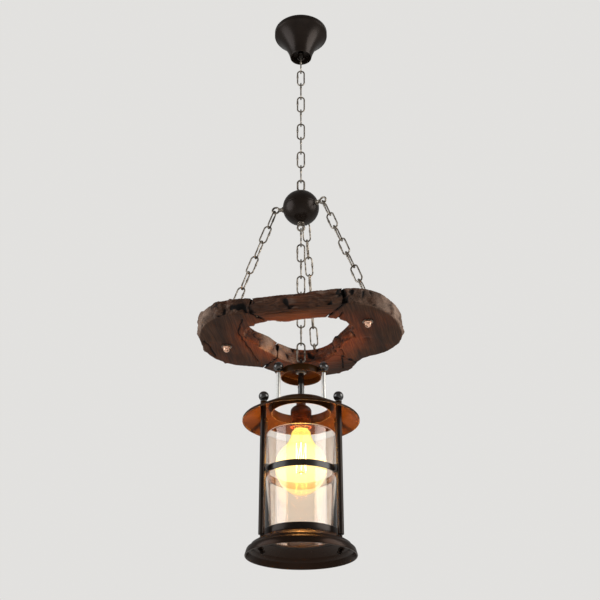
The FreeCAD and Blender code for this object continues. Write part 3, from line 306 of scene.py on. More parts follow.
# Fixture loop: a turned ring and flange screwed on the nipple's end. Its flange holds the canopy up, and the
# first link of the chain hangs in its ring.
dress(black_coat, "fixture_loop")

# Chains: long links bent from round wire and butt welded on one side, plated in antique pewter that has gone
# dark in its hollows. Every link crosses the next by a quarter turn.
link_radius, link_wire, link_stretch, link_pitch = 7.4, 1.6, 26, 37.4
hook_drop, eye_radius = 10.6, 9
top_links = 9


def pewter_look(place):
    rounded, edge = place.eased(0.4 * mm)
    patch = place.grain(160, 4.0).rise(0.40, 0.66)
    grit = place.grain(1100, 2.0)
    colour = patch.tint((0.32, 0.285, 0.240, 1), (0.085, 0.070, 0.056, 1))
    return {
        "Base Color": edge.tint(colour, (0.40, 0.36, 0.305, 1)),
        "Roughness": 0.28 + patch * 0.24 + grit * 0.08,
        "Normal": place.bump(grit, 0.25, 0.2 * mm, rounded),
    }


old_pewter = finish("old_pewter", pewter_look, {"Metallic": 1.0})
bpy.ops.object.select_all(action="DESELECT")
bpy.ops.mesh.primitive_torus_add(major_segments=36, minor_segments=14, major_radius=link_radius * mm,
                                 minor_radius=link_wire * mm, rotation=(math.pi / 2, 0, 0))
link = bpy.context.object
link.name = "link_pattern"
bpy.ops.object.transform_apply(rotation=True)
bpy.ops.object.mode_set(mode="EDIT")
bpy.ops.mesh.select_mode(type="FACE")
bpy.ops.mesh.select_all(action="DESELECT")
bpy.ops.object.mode_set(mode="OBJECT")
for face in link.data.polygons:
    face.select = face.center.z < 0
bpy.ops.object.mode_set(mode="EDIT")
bpy.ops.mesh.extrude_region_move(TRANSFORM_OT_translate={"value": (0, 0, -link_stretch * mm)})
weld_height = -link_stretch / 2
weld_rings = ((-2.6, 1.0), (-1.3, 1.10), (0, 1.2), (1.3, 1.12), (2.6, 1.0))
for offset, swell in weld_rings:
    bpy.ops.mesh.select_all(action="SELECT")
    bpy.ops.mesh.bisect(plane_co=(0, 0, (weld_height + offset) * mm), plane_no=(0, 0, 1))
    bpy.ops.mesh.select_mode(type="VERT")
    bpy.ops.mesh.select_all(action="DESELECT")
    bpy.ops.object.mode_set(mode="OBJECT")
    for vertex in link.data.vertices:
        vertex.select = vertex.co.x < 0 and abs(vertex.co.z / mm - weld_height - offset) < 0.01
    bpy.ops.object.mode_set(mode="EDIT")
    weld_centre = (-link_radius * mm, 0, weld_height * mm)
    bpy.ops.transform.resize(value=(swell, swell, 1), center_override=weld_centre)
bpy.ops.mesh.select_all(action="SELECT")
bpy.ops.mesh.normals_make_consistent(inside=False)
bpy.ops.object.mode_set(mode="OBJECT")


def laid_out(pattern, name, places):
    """One piece made of a pattern's copies at the given places."""
    bpy.ops.object.select_all(action="DESELECT")
    made = []
    for where in places:
        copy = pattern.copy()
        copy.data = pattern.data.copy()
        copy.data.transform(where)
        bpy.context.scene.collection.objects.link(copy)
        copy.select_set(True)
        made.append(copy)
    bpy.context.view_layer.objects.active = made[0]
    if len(made) > 1:
        bpy.ops.object.join()
    made[0].name = name
    return made[0]


def chain_places(ring, pull, across, count):
    """Places of a chain's links, hooked on the ring and pulled along a direction."""
    places = []
    for number in range(count):
        side = across if number % 2 == 0 else pull.cross(across)
        turn = Matrix((side, (-pull).cross(side), -pull)).transposed().to_4x4()
        places.append(Matrix.Translation(ring + pull * (hook_drop + number * link_pitch) * mm) @ turn)
    return places


def hung_chain(name, body, places):
    """A run of links as one piece that stands for the chain's solids."""
    piece = laid_out(link, name + "_links", places)
    bpy.ops.object.shade_smooth()
    return fitted(piece, old_pewter, body, "chain_metal", name)


down, sideways = Vector((0, 0, -1)), Vector((0, 1, 0))
fixture_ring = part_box("fixture_loop")[0].z + eye_radius * mm
top_places = chain_places(Vector((0, 0, fixture_ring)), down, sideways, top_links)
hung_chain("top_chain_link", "top_link", top_places[:1])
hung_chain("top_chain", "crown", top_places[1:])

# Ball hub: two spun half shells meet at the middle over a tapped core, and eye bolts above, below and on
# three sides clamp them. The shells wear the black coat, the eyes are pewter like the chains.
hub_radius, hub_sheet, hub_gap, bolt_hole = 38, 2, 0.12, 4.05
hub_inside = hub_radius - hub_sheet
hub_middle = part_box("hub_upper_shell")[0].z / mm
for name, sign in (("upper", 1), ("lower", -1)):
    pole_outside = (bolt_hole, hub_middle + sign * math.sqrt(hub_radius ** 2 - bolt_hole ** 2))
    pole_inside = (bolt_hole, hub_middle + sign * math.sqrt(hub_inside ** 2 - bolt_hole ** 2))
    seam_height = hub_middle + sign * hub_gap
    seam_outside, seam_inside = (hub_radius, seam_height), (hub_inside, seam_height)
    shell = [seam_inside, seam_outside] + bow(seam_outside, pole_outside, hub_radius, sign, 28)
    shell += [pole_inside] + bow(pole_inside, seam_inside, hub_inside, -sign, 20)[:-1]
    half = rounded_edges(spun(f"hub_{name}_half", shell, 112), 0.45)
    fitted(half, black_coat, "crown", "black_metal", f"hub_{name}_shell")
dress(zinc_plate, "hub_core")
dress(old_pewter, "hub_top_eye", "hub_bottom_eye", "hub_side_eyes")

# Side chains: three more runs of the same links, from the ball's side eyes out to the eye bolts in the
# timber. They carry the whole ring, so they hang straight.
bolt_azimuths = {"left": -101, "right": 57, "far": 169}
bolt_circle, side_eye_circle, side_links = 150, 54, 7


def plan(radius, azimuth, height=0.0):
    """A point by its radius, its azimuth from the front and its height, in millimetres."""
    angle = math.radians(azimuth)
    return Vector((radius * math.sin(angle), -radius * math.cos(angle), height)) * mm


bolt_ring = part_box("ring_eye_bolts")[1].z / mm - eye_radius
for name, azimuth in bolt_azimuths.items():
    hook = plan(side_eye_circle, azimuth, hub_middle)
    pull = (plan(bolt_circle, azimuth, bolt_ring) - hook).normalized()
    tangent = Vector((math.cos(math.radians(azimuth)), math.sin(math.radians(azimuth)), 0))
    hung_chain(f"side_chain_{name}", "crown", chain_places(hook, pull, tangent, side_links))

# Timber ring: three broad pieces and a narrow rail of rough old timber, hewn, charred and brushed, butted
# together over dowels. The long grain is deep and open, and the outside keeps a lumpy live edge.
lobes = ((-94, 68, 50), (70, 68, 50), (169, 50, 38))
rail_edge, hole_radius, hole_swell, hole_turn = 130, 100, 15, 52
belly_inside, belly_whole, face_inset, voxel = 1.5, 4.0, 1.0, 2.0
lump_relief, hewn_relief, chip_relief, groove_depth, split_depth = 4.4, 15, 12, 2.2, 5
seam_width, split_width, hole_glow_width = 5.5, 2.6, 36
deepest, proudest = -10, 4.5
timber_low, timber_high = (corner.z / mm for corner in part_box("wood_board_left"))


def apart(azimuth, other):
    """Degrees from one azimuth to another, the short way round."""
    return (azimuth - other + 180) % 360 - 180


def ring_edges(azimuth):
    """Radius of the hole's edge and of the outer edge, in millimetres."""
    outer = rail_edge
    for middle, swell, spread in lobes:
        outer += swell * math.exp(-(apart(azimuth, middle) / spread) ** 4)
    return hole_radius + hole_swell * math.cos(math.radians(3 * (azimuth - hole_turn))), outer


def timber_look(place):
    grain = place.node("Attribute", {"attribute_name": "grain"}, {}, "Vector")
    hollow_char_and_shade, wall, rubbed_sheen, hole_glow = (place.node("Attribute", {"attribute_name": title}, {}, "Fac")
                                 for title in ("hollow_char_and_shade", "wall", "rubbed_sheen", "hole_glow"))
    fibre = grain.grain(1, 5.0, (20, 520, 520))
    band = grain.grain(1, 4.0, (3, 60, 60))
    pores = grain.grain(1, 2.0, (60, 1500, 1500))
    patch = place.grain(12, 3.0)
    ripple = fibre.rise(0.30, 0.72)
    brown = ripple.tint((0.024, 0.0104, 0.0054, 1), (0.072, 0.0325, 0.0168, 1))
    ruddy = ripple.tint((0.042, 0.0120, 0.0058, 1), (0.128, 0.038, 0.0155, 1))
    # Painted lamp light: hole_glow reddens the timber towards the hole, where the lamp shines up through the
    # brim's hole.
    colour = (patch.rise(0.44, 0.66) * 0.5 + hole_glow * 0.8).tint(brown, ruddy)
    colour = (band.rise(0.48, 0.64) * 0.5).tint(colour, (0.013, 0.0070, 0.0048, 1))
    brushed = grain.grain(1, 4.0, (20, 210, 210)).rise(0.46, 0.64)
    worn = (wall * 0.40 + 0.05) * brushed * place.grain(24, 3.0).rise(0.40, 0.62)
    colour = worn.tint(colour, (0.205, 0.150, 0.117, 1))
    # Painted highlight: pale patches on the walls where the soft box lights them.
    colour = (rubbed_sheen * (0.40 + ripple * 0.6)).tint(colour, (0.27, 0.190, 0.145, 1))
    # Grooves, splits, chip pits and seams go almost black: char and dark joints, and painted shade in the
    # recesses.
    colour = hollow_char_and_shade.rise(0.12, 0.70).tint(colour, (0.0035, 0.0023, 0.0019, 1))
    height = fibre * 0.6 + pores * 0.25 + band * 0.4
    return {
        "Base Color": colour,
        "Roughness": 0.62 + fibre * 0.3,
        "Normal": place.bump(height, 0.6, 0.9 * mm),
    }


timber = finish("timber", timber_look, {"Specular IOR Level": 0.18})


def nearest(point, start, end):
    """Distance from a plan point to a line between two others."""
    way = end - start
    share = max(0, min(1, (point - start).dot(way) / way.length_squared))
    return (point - start - way * share).length


def rough_board(name, start, end, lean, knots, cracks, rubbed_sheen_places):
    """One hewn board between two azimuths. lean is its grain's direction, knots are (radius, azimuth, size),
    cracks are runs of (radius, azimuth) along which the timber has split, and rubbed_sheen_places are places
    on its walls as (azimuth, half width, side), with the side 1 outside and -1 in the hole, rubbed smoother
    and painted pale as a highlight."""
    bpy.ops.object.select_all(action="DESELECT")
    bpy.ops.mesh.primitive_cube_add(size=1, location=(0.5, 0.5, 0.5))
    board = bpy.context.object
    board.name = name + "_hewn"
    bpy.ops.object.transform_apply(location=True)
    for axis, cuts in enumerate((int((end - start) / 2), 12, 6)):
        for edge in board.data.edges:
            first, last = (board.data.vertices[index].co for index in edge.vertices)
            edge.select = abs(first[axis] - last[axis]) > 0.5
        bpy.ops.object.mode_set(mode="EDIT")
        bpy.ops.mesh.select_mode(type="EDGE")
        bpy.ops.mesh.subdivide(number_cuts=cuts)
        bpy.ops.mesh.select_all(action="DESELECT")
        bpy.ops.object.mode_set(mode="OBJECT")
    for vertex in board.data.vertices:
        share, across, lift = vertex.co
        azimuth = start + (end - start) * share
        inner, outer = ring_edges(azimuth)
        belly = math.sin(math.pi * lift)
        radius = inner - belly_inside * belly + (outer - inner + belly_whole * belly) * across
        height = timber_low + face_inset + (timber_high - timber_low - 2 * face_inset) * lift
        vertex.co = plan(radius, azimuth, height)
    bpy.ops.object.mode_set(mode="EDIT")
    bpy.ops.mesh.select_all(action="SELECT")
    bpy.ops.mesh.normals_make_consistent(inside=False)
    bpy.ops.object.mode_set(mode="OBJECT")
    shaped(board, ("REMESH", {"mode": "VOXEL", "voxel_size": voxel * mm}))
    along = Vector((math.cos(math.radians(lean)), math.sin(math.radians(lean)), 0))
    athwart = Vector((-along.y, along.x, 0))
    bolts = [plan(bolt_circle, azimuth) for azimuth in bolt_azimuths.values()]
    knot_spots = [(plan(radius, azimuth), size * mm) for radius, azimuth, size in knots]
    splits = [[plan(*spot) for spot in run] for run in cracks]
    mesh = board.data
    grains, hollow_chars_and_shades, walls, rubbed_sheens, hole_glows, moved = [], [], [], [], [], []
    for vertex in mesh.vertices:
        spot, normal = vertex.co / mm, vertex.normal
        flat = Vector((vertex.co.x, vertex.co.y, 0))
        azimuth, radius = math.degrees(math.atan2(flat.x, -flat.y)), flat.length / mm
        run, across = spot.dot(along), spot.dot(athwart)
        wobble = noise.noise(spot / 85) * 4
        wall = min(1, max(0, (0.75 - abs(normal.z)) / 0.5))
        rubbed_sheen = 0.0
        # These places are rubbed smoother, and their paleness is a painted highlight from the soft box.
        for middle, spread, side in rubbed_sheen_places:
            facing = min(1, max(0, normal.dot(flat) / flat.length * side * 1.8))
            rubbed_sheen = max(rubbed_sheen, facing * math.exp(-(apart(azimuth, middle) / spread) ** 4))
        rubbed_sheen *= 0.75 + 0.9 * noise.noise(spot / 19 + Vector((0, 0, 40)))
        # Painted lamp glow, strongest at the hole's edge.
        hole_glow = math.exp(-((radius - ring_edges(azimuth)[0]) / hole_glow_width) ** 2)
        streak = noise.noise(Vector((run / 70, (across + wobble) / 5.5, spot.z / 8)))
        furrow = noise.noise(Vector((run / 95 + 31, (across + wobble) / 13, spot.z / 17)))
        patchy = 0.30 + 2.4 * noise.noise(spot / 47 + Vector((9, 0, 0))) ** 2
        groove = max(0, 1 - abs(furrow) / 0.050) * patchy
        groove = min(1, groove * (0.45 + 0.55 * wall) * (1 - 0.8 * rubbed_sheen))
        lump = noise.fractal(Vector((run / 26, across / 17, spot.z / 13)), 0.9, 2.1, 4)
        flake = Vector((spot.x / 11, spot.y / 11, spot.z / 17)) + Vector((0, 50, 0))
        chip = max(0, noise.noise(flake) - 0.16)
        split = 0.0
        strayed = flat + athwart * noise.noise(spot / 14) * 3 * mm
        for line in splits:
            for first, last in zip(line, line[1:]):
                split = max(split, 1 - nearest(strayed, first, last) / mm / split_width)
        for knot, size in knot_spots:
            split = max(split, 0.55 * (1 - (strayed - knot).length / size))
        seam = min(radius * abs(math.sin(math.radians(azimuth - edge))) for edge in (start, end))
        seam = math.exp(-(seam / seam_width) ** 2) * (0.55 + 0.8 * noise.noise(spot / 11)) * (1 - 0.5 * rubbed_sheen)
        hewn = abs(noise.noise(Vector((run / 48, across / 30, spot.z / 22)) + Vector((70, 0, 0))))
        shift = noise.noise(spot / 42) * 1.4 + streak * (0.5 + 0.4 * wall) - groove * groove_depth
        rough = lump * lump_relief + (hewn - 0.24) * hewn_relief - chip * chip_relief
        shift += wall * (1 - 0.75 * rubbed_sheen) * rough
        shift -= seam * (1.2 + 3.8 * wall) + split * split_depth
        calm = min((flat - bolt).length for bolt in bolts) / mm
        shift *= min(1, max(0.0, (calm - 9) / 12)) if wall < 0.5 else 1
        grains.append((run * mm, (across + wobble) * mm, vertex.co.z))
        # Dark joints and char, with painted shade in grooves, splits and chip pits.
        hollow_chars_and_shades.append(max(groove, split, wall * chip * 2.6 * (1 - rubbed_sheen), seam))
        walls.append(wall)
        rubbed_sheens.append(max(0, rubbed_sheen))
        hole_glows.append(hole_glow)
        moved.append(vertex.co + normal * max(deepest, min(proudest, shift)) * mm)
    for vertex, place in zip(mesh.vertices, moved):
        vertex.co = place
    layer = mesh.attributes.new("grain", "FLOAT_VECTOR", "POINT")
    for item, value in zip(layer.data, grains):
        item.vector = value
    for title, values in (("hollow_char_and_shade", hollow_chars_and_shades), ("wall", walls), ("rubbed_sheen", rubbed_sheens), ("hole_glow", hole_glows)):
        layer = mesh.attributes.new(title, "FLOAT", "POINT")
        for item, value in zip(layer.data, values):
            item.value = value
    bpy.ops.object.shade_smooth()
    return fitted(board, timber, "crown", "timber", name)


rough_board("wood_rail_near", -40, 27, -8, [], [[(131, -30), (118, -12), (124, 6)]], [])
rough_board("wood_board_right", 27, 133, 78, [(127, 88, 11)],
            [[(100, 70), (106, 84)], [(138, 33), (112, 38), (99, 42)], [(92, 119), (112, 129)]],
            [(76, 36, 1)])
rough_board("wood_board_far", 133, 210, 172, [], [[(119, 136), (136, 141), (160, 147)]], [(200, 14, -1)])
rough_board("wood_board_left", 210, 320, -96, [],
            [[(141, -51), (125, -75), (112, -97), (135, -139)], [(190, -92), (188, -114)]],
            [(-134, 22, -1), (-84, 20, 1)])


def beech_look(place):
    fibre = place.grain(1, 4.0, (160, 160, 700))
    colour = fibre.tint((0.42, 0.27, 0.14, 1), (0.60, 0.43, 0.25, 1))
    return {"Base Color": colour, "Roughness": 0.55 + fibre * 0.2,
            "Normal": place.bump(fibre, 0.3, 0.3 * mm)}


dress(finish("beech", beech_look, {"Specular IOR Level": 0.4}), "ring_dowels")

# Eye bolts in the timber: pewter eyes on plain shanks with washers on both faces, and copper plated dome nuts
# that show as bright dots on the underside.


def copper_look(place):
    rounded, edge = place.eased(0.5 * mm)
    smear = place.grain(140, 3.0)
    colour = smear.rise(0.35, 0.7).tint((0.80, 0.50, 0.36, 1), (0.62, 0.36, 0.25, 1))
    return {"Base Color": edge.tint(colour, (0.88, 0.62, 0.48, 1)), "Roughness": 0.16 + smear * 0.16,
            "Normal": place.bump(smear, 0.05, 0.2 * mm, rounded)}


copper_plate = finish("copper_plate", copper_look, {"Metallic": 1.0})
washer, stud_hole, dome_foot, dome_radius, dome_depth = 1.5, 3.05, 8.5, 7, 7.5
nut_height = timber_low - washer
dome_seat = (dome_radius, nut_height - 4)
dome = [(stud_hole, nut_height), (dome_foot, nut_height), (dome_foot, nut_height - 2.2), dome_seat]
dome += bow(dome_seat, (0, dome_seat[1] - dome_radius), dome_radius, -1, 10)
dome += [(0, nut_height - dome_depth), (stud_hole, nut_height - dome_depth)]
dome_nut = rounded_edges(spun("dome_nut_pattern", dome, 40), 0.35)
dome_places = [Matrix.Translation(plan(bolt_circle, azimuth)) for azimuth in bolt_azimuths.values()]
dome_nuts = laid_out(dome_nut, "timber_dome_nuts", dome_places)
bpy.data.objects.remove(dome_nut)
fitted(dome_nuts, copper_plate, "crown", "bright_nut", "ring_dome_nuts")
dress(old_pewter, "ring_eye_bolts", "ring_washers")

# Drop chain: the last run of links, from the ball's lower eye through the middle of the timber ring. The
# lantern hangs on it alone, clear of the timber.
drop_links = 8
drop_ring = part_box("hub_bottom_eye")[0].z + eye_radius * mm
drop_places = chain_places(Vector((0, 0, drop_ring)), down, sideways, drop_links)
hung_chain("drop_chain_link", "drop_link", drop_places[:1])
hung_chain("drop_chain", "lantern", drop_places[1:])
bpy.data.objects.remove(link)

# Lantern loop and lock nuts: a turned ring with a socket for the centre tube, in the black coat, and zinc
# plated nuts that lock the tube in the cap and the upper posts in the brim.
dress(black_coat, "lantern_loop")
dress(zinc_plate, "cap_lock_nut", "brim_lock_nuts")

# Cap: a small cup spun from sheet, with a low crown, a deep skirt and three rounded ears at its foot that the
# upper posts hang from. Its coat is duller, as is the brim's, with the lamp's orange light painted into its
# colour and a painted highlight along its edges.


def dull_lamplit_look(place):
    look = coat_look(place)
    edge = place.eased(1.0 * mm)[1]
    # Painted lamp light: a dark orange-brown that stands in for the lamp's warm light falling on the cap and
    # brim.
    colour = place.grain(18).rise(0.3, 0.7).tint((0.019, 0.0077, 0.0019, 1), (0.031, 0.0130, 0.0036, 1))
    # Painted highlight: the edges are paler, standing in for the bright line where the light catches the
    # rims.
    return look | {"Base Color": (edge * 0.8).tint(colour, (0.21, 0.165, 0.125, 1))}


dull_coat_painted_light = finish("dull_coat_painted_light", dull_lamplit_look, {"Specular IOR Level": 0.04})
upper_circle, upper_azimuths = 49.5, (-60, 60, 180)
upper_turns = [Matrix.Rotation(math.radians(azimuth), 4, "Z") for azimuth in upper_azimuths]


def tube_outline(inside, outside, low, high):
    """The outline of a plain disc, ring or tube."""
    return [(inside, high), (outside, high), (outside, low), (inside, low)]


def ring_places(turns, circle, height=0.0):
    """Places on a circle, one for each turn about the lamp's axis."""
    return [turn @ Matrix.Translation(plan(circle, 0, height)) for turn in turns]


ear_low, crown_high = (corner.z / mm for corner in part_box("cap_disc"))
tube_hole, crown_flat, cup_radius, cup_sheet = 6.05, 17, 39, 1.5
cup_lining = cup_radius - cup_sheet
cup = [(tube_hole, crown_high), (crown_flat, crown_high), (36, crown_high - 0.9), (38.4, crown_high - 1.9),
       (cup_radius, crown_high - 3.6), (cup_radius, ear_low), (cup_lining, ear_low),
       (cup_lining, crown_high - 2.5), (crown_flat, crown_high - cup_sheet),
       (tube_hole, crown_high - cup_sheet)]
cap = spun("cap_cup", cup, 112)
ear_radius, ear_sheet, ear_reach = 6.5, 2, 11.2
ear = spun("cap_ear", tube_outline(0, ear_radius, 0, ear_sheet), 40)
bpy.ops.object.select_all(action="DESELECT")
bpy.ops.mesh.primitive_cube_add(size=1, location=(0, ear_reach / 2 * mm, ear_sheet / 2 * mm),
                                scale=(2 * ear_radius * mm, ear_reach * mm, ear_sheet * mm))
strap = bpy.context.object
bpy.ops.object.transform_apply(location=True, scale=True)
shaped(ear, ("BOOLEAN", {"object": strap, "operation": "UNION", "solver": "EXACT"}))
ears = laid_out(ear, "cap_ears", ring_places(upper_turns, upper_circle, ear_low))
shaped(cap, ("BOOLEAN", {"object": ears, "operation": "UNION", "solver": "EXACT"}))
for spent in (ear, strap, ears):
    bpy.data.objects.remove(spent)
fitted(rounded_edges(cap, 0.4, 2, 30), dull_coat_painted_light, "lantern", "black_metal", "cap_disc")

# Ball nuts: turned from bar with a foot, a short neck and a ball, and enamelled a glossy black. Three hold
# the upper posts above the cap and four hold the lower posts above the brim. The centre tube has the same
# enamel.


def enamel_look(place):
    rounded, edge = place.eased(0.4 * mm)
    smear = place.grain(110, 3.0)
    colour = smear.tint((0.010, 0.009, 0.0085, 1), (0.018, 0.016, 0.0145, 1))
    return {"Base Color": edge.tint(colour, (0.06, 0.054, 0.048, 1)), "Roughness": 0.06 + smear * 0.10,
            "Normal": place.bump(smear, 0.04, 0.2 * mm, rounded)}


black_enamel = finish("black_enamel", enamel_look, {"Specular IOR Level": 0.8})
lower_circle, lower_azimuths = 80, (-60, 60, -120, 120)
lower_turns = [Matrix.Rotation(math.radians(azimuth), 4, "Z") for azimuth in lower_azimuths]
ball_radius, ball_neck, ball_foot, neck_height, stud_bore, bore_depth = 9.5, 4.5, 6, 2, 2.55, 10
ball_seat = (ball_neck, neck_height)
ball_top = neck_height + math.sqrt(ball_radius ** 2 - ball_neck ** 2) + ball_radius
ball = [(stud_bore, 0), (ball_foot, 0), (ball_foot, 1.2), (5.7, 1.5), (ball_neck, 1.5), ball_seat]
ball += bow(ball_seat, (0, ball_top), ball_radius, 1, 22) + [(0, bore_depth), (stud_bore, bore_depth)]
ball_nut = rounded_edges(spun("ball_nut_pattern", ball, 48), 0.3)
nut_rings = (("cap_nuts", upper_circle, upper_turns), ("brim_nuts", lower_circle, lower_turns))
for name, circle, turns in nut_rings:
    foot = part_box(name)[0].z / mm
    nuts = laid_out(ball_nut, name + "_turned", ring_places(turns, circle, foot))
    fitted(nuts, black_enamel, "lantern", "gloss_black", name)
bpy.data.objects.remove(ball_nut)
dress(black_enamel, "centre_tube")

# Posts: three thin ones between cap and brim, zinc plated, and four stouter black ones between brim and base,
# turned down to threaded studs at both ends.
dress(zinc_plate, "upper_posts")
dress(black_coat, "lower_post_left", "lower_post_right", "lower_post_far_left", "lower_post_far_right")

# Brim: a wide cone spun from sheet, with a lip turned down at the rim and a collar that hangs from its hole.
# Three tabs in the collar carry the upper posts, and four bosses seat the lower posts and their ball nuts.
lip_low, brim_high = (corner.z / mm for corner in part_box("brim"))
brim_radius, brim_sheet, lip_depth, collar_inside, collar_drop = 110, 1.5, 4, 54.5, 18
tab_width, tab_reach, tab_middle, boss_radius, boss_depth = 14, 14.2, 48.1, 6, 10.2
rim = lip_low + lip_depth
lip_inside, collar_outside = brim_radius - brim_sheet, collar_inside + brim_sheet
outline = [(collar_inside, brim_high - 0.4), (54.9, brim_high), (56.4, brim_high - 0.3), (109.2, rim + 0.3),
           (brim_radius, rim - 0.9), (brim_radius, lip_low), (lip_inside, lip_low),
           (lip_inside, rim - brim_sheet), (collar_outside, brim_high - 1.9),
           (collar_outside, brim_high - collar_drop), (collar_inside, brim_high - collar_drop)]
brim = spun("brim_cone", outline, 144)
bpy.ops.object.select_all(action="DESELECT")
bpy.ops.mesh.primitive_cube_add(size=1, location=(0, -tab_middle * mm, (brim_high - brim_sheet / 2) * mm),
                                scale=(tab_width * mm, tab_reach * mm, brim_sheet * mm))
tab = bpy.context.object
bpy.ops.object.transform_apply(location=True, scale=True)
nut_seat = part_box("brim_nuts")[0].z / mm
boss = spun("brim_boss", tube_outline(0, boss_radius, nut_seat - boss_depth, nut_seat), 40)
tabs = laid_out(tab, "brim_tabs", upper_turns)
bosses = laid_out(boss, "brim_bosses", ring_places(lower_turns, lower_circle))
shaped(brim, ("BOOLEAN", {"object": tabs, "operation": "UNION", "solver": "EXACT"}),
       ("BOOLEAN", {"object": bosses, "operation": "UNION", "solver": "EXACT"}))
for spent in (tab, tabs, boss, bosses):
    bpy.data.objects.remove(spent)
fitted(rounded_edges(brim, 0.4, 2, 30), dull_coat_painted_light, "lantern", "black_metal", "brim")

# Glass chimney: a plain drawn cylinder with fire-polished ends, clear with the faintest warm tint. It stands
# on the base, inside the collar ring.


def glass_look(place):
    smear = place.grain(1, 3.0, (22, 22, 5))
    ripple = place.grain(1, 2.0, (30, 30, 4))
    return {"Roughness": smear.rise(0.45, 0.85) * 0.05, "Normal": place.bump(ripple, 0.02, 0.4 * mm)}


clear_glass = finish("clear_glass", glass_look, {
    "Base Color": (0.945, 0.855, 0.775, 1), "Transmission Weight": 1.0, "IOR": 1.45,
    "Specular IOR Level": 0.5})
glass_inside, glass_outside = 61.5, 64.5
glass_low, glass_high = (corner.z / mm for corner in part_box("glass_cylinder"))
pane = tube_outline(glass_inside, glass_outside, glass_low, glass_high)
chimney = rounded_edges(spun("glass_chimney", pane, 128), 1.2, 4)
chimney.visible_shadow = False
fitted(chimney, clear_glass, "lantern", "clear_glass", "glass_cylinder")

# Collar and mid ring: a plain ring round the foot of the glass, and a rolled band half way up with a lug to
# each post.
foot_ring_inside, foot_ring_outside = 65, 68.5
collar_low, collar_high = (corner.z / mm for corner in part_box("collar_ring"))
collar = spun("glass_collar", tube_outline(foot_ring_inside, foot_ring_outside, collar_low, collar_high), 128)
fitted(rounded_edges(collar, 0.9, 3), black_coat, "lantern", "black_metal", "collar_ring")


def band_lit_inside_look(place):
    look = coat_look(place)
    level = place.node("VectorMath", {"operation": "MULTIPLY"}, {0: place, 1: (1, 1, 0)}, "Vector")
    radius = place.node("VectorMath", {"operation": "LENGTH"}, {0: level}, "Value") * (1 / mm)
    # The band's inner face is paler: bare metal inside, and painted lamp light, as the lamp lights that face
    # from close by.
    colour = radius.rise(65.3, 65.9).tint((0.062, 0.058, 0.048, 1), look["Base Color"])
    return look | {"Base Color": colour}


dress(finish("band_coat_lit_inside", band_lit_inside_look, {"Specular IOR Level": 0.40}), "mid_ring")

# Base: a flared foot spun from sheet in three steps, open below, with a flat seat for the glass. Its coat is
# glossier than the canopy's, so that the lit glass shines in it, and paler along its steps as a painted
# highlight.


def gloss_look(place):
    look = coat_look(place)
    edge = place.eased(1.2 * mm)[1]
    cloud = place.grain(30)
    colour = cloud.tint((0.0068, 0.0042, 0.0028, 1), (0.0110, 0.0068, 0.0046, 1))
    return look | {
        # Painted highlight: the step edges are paler, so they catch the light.
        "Base Color": (edge * 0.7).tint(colour, (0.15, 0.122, 0.098, 1)),
        "Roughness": 0.20 + cloud * 0.12,
    }


gloss_coat = finish("gloss_coat", gloss_look, {
    "Specular IOR Level": 0.15, "Specular Tint": (1, 0.58, 0.42, 1)})
base_low, seat = (corner.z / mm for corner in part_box("base_flare"))
seat_hole, base_radius, base_sheet = 56, 100, 2
base_outside = ((69, 0), (70.5, 0.4), (87, 10.8), (89, 12), (90, 14.5), (93, 18), (96, 19), (97.2, 21))
base_inside = ((94.6, 20.6), (92.2, 19.6), (88.4, 15.6), (87.4, 13.6), (69.8, 2.6), (68.6, base_sheet))
base = [(seat_hole, seat)] + [(radius, seat - drop) for radius, drop in base_outside]
base += [(base_radius, base_low + 1.2), (base_radius - 0.3, base_low), (base_radius - base_sheet, base_low)]
base += [(radius, seat - drop) for radius, drop in base_inside] + [(seat_hole, seat - base_sheet)]
base_foot = rounded_edges(spun("base_foot", base, 144), 0.4, 2, 30)
fitted(base_foot, gloss_coat, "lantern", "black_metal", "base_flare")
dress(black_coat, "base_nuts")

# Lampholder: a moulded dome and sleeve of dark brown bakelite, screwed together, with three beads round the
# sleeve. Inside are a ceramic insert, a pressed brass shell and a sprung contact.


def bakelite_look(place):
    rounded, edge = place.eased(0.4 * mm)
    swirl = place.grain(70, 4.0)
    colour = swirl.rise(0.3, 0.75).tint((0.044, 0.0105, 0.0030, 1), (0.098, 0.026, 0.0070, 1))
    return {"Base Color": edge.tint(colour, (0.085, 0.034, 0.017, 1)), "Roughness": 0.26 + swirl * 0.16,
            "Normal": place.bump(swirl, 0.05, 0.2 * mm, rounded)}


def ceramic_look(place):
    speck = place.grain(500, 3.0)
    colour = speck.tint((0.70, 0.66, 0.58, 1), (0.84, 0.82, 0.76, 1))
    return {"Base Color": colour, "Roughness": 0.55 + speck * 0.2,
            "Normal": place.bump(speck, 0.2, 0.2 * mm)}


bakelite = finish("bakelite", bakelite_look, {"Specular IOR Level": 0.15})
holder_radius, holder_bore, spigot, tube_bore, holder_arc = 19.7, 17, 19.2, 5.8, 13
holder_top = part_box("lampholder_dome")[1].z / mm
holder_neck, shoulder = (9, holder_top - 6.8), (holder_radius, holder_top - 16)
holder = [(tube_bore, holder_top), (8.4, holder_top), (9, holder_top - 0.6), holder_neck]
holder += bow(holder_neck, shoulder, holder_arc, -1, 14)
holder += [(holder_radius, holder_top - 23.4), (spigot, holder_top - 24), (spigot, holder_top - 26),
           (holder_bore, holder_top - 26), (holder_bore, holder_top - 16), (9, holder_top - 9.5),
           (tube_bore, holder_top - 9.5)]
holder_dome = rounded_edges(spun("holder_dome", holder, 80), 0.3)
fitted(holder_dome, bakelite, "lantern", "bakelite", "lampholder_dome")
bead_count, bead_pitch = 3, 3.4
sleeve_low, sleeve_high = (corner.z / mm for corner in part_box("lampholder_sleeve"))
sleeve = [(holder_bore, sleeve_high), (spigot, sleeve_high)]
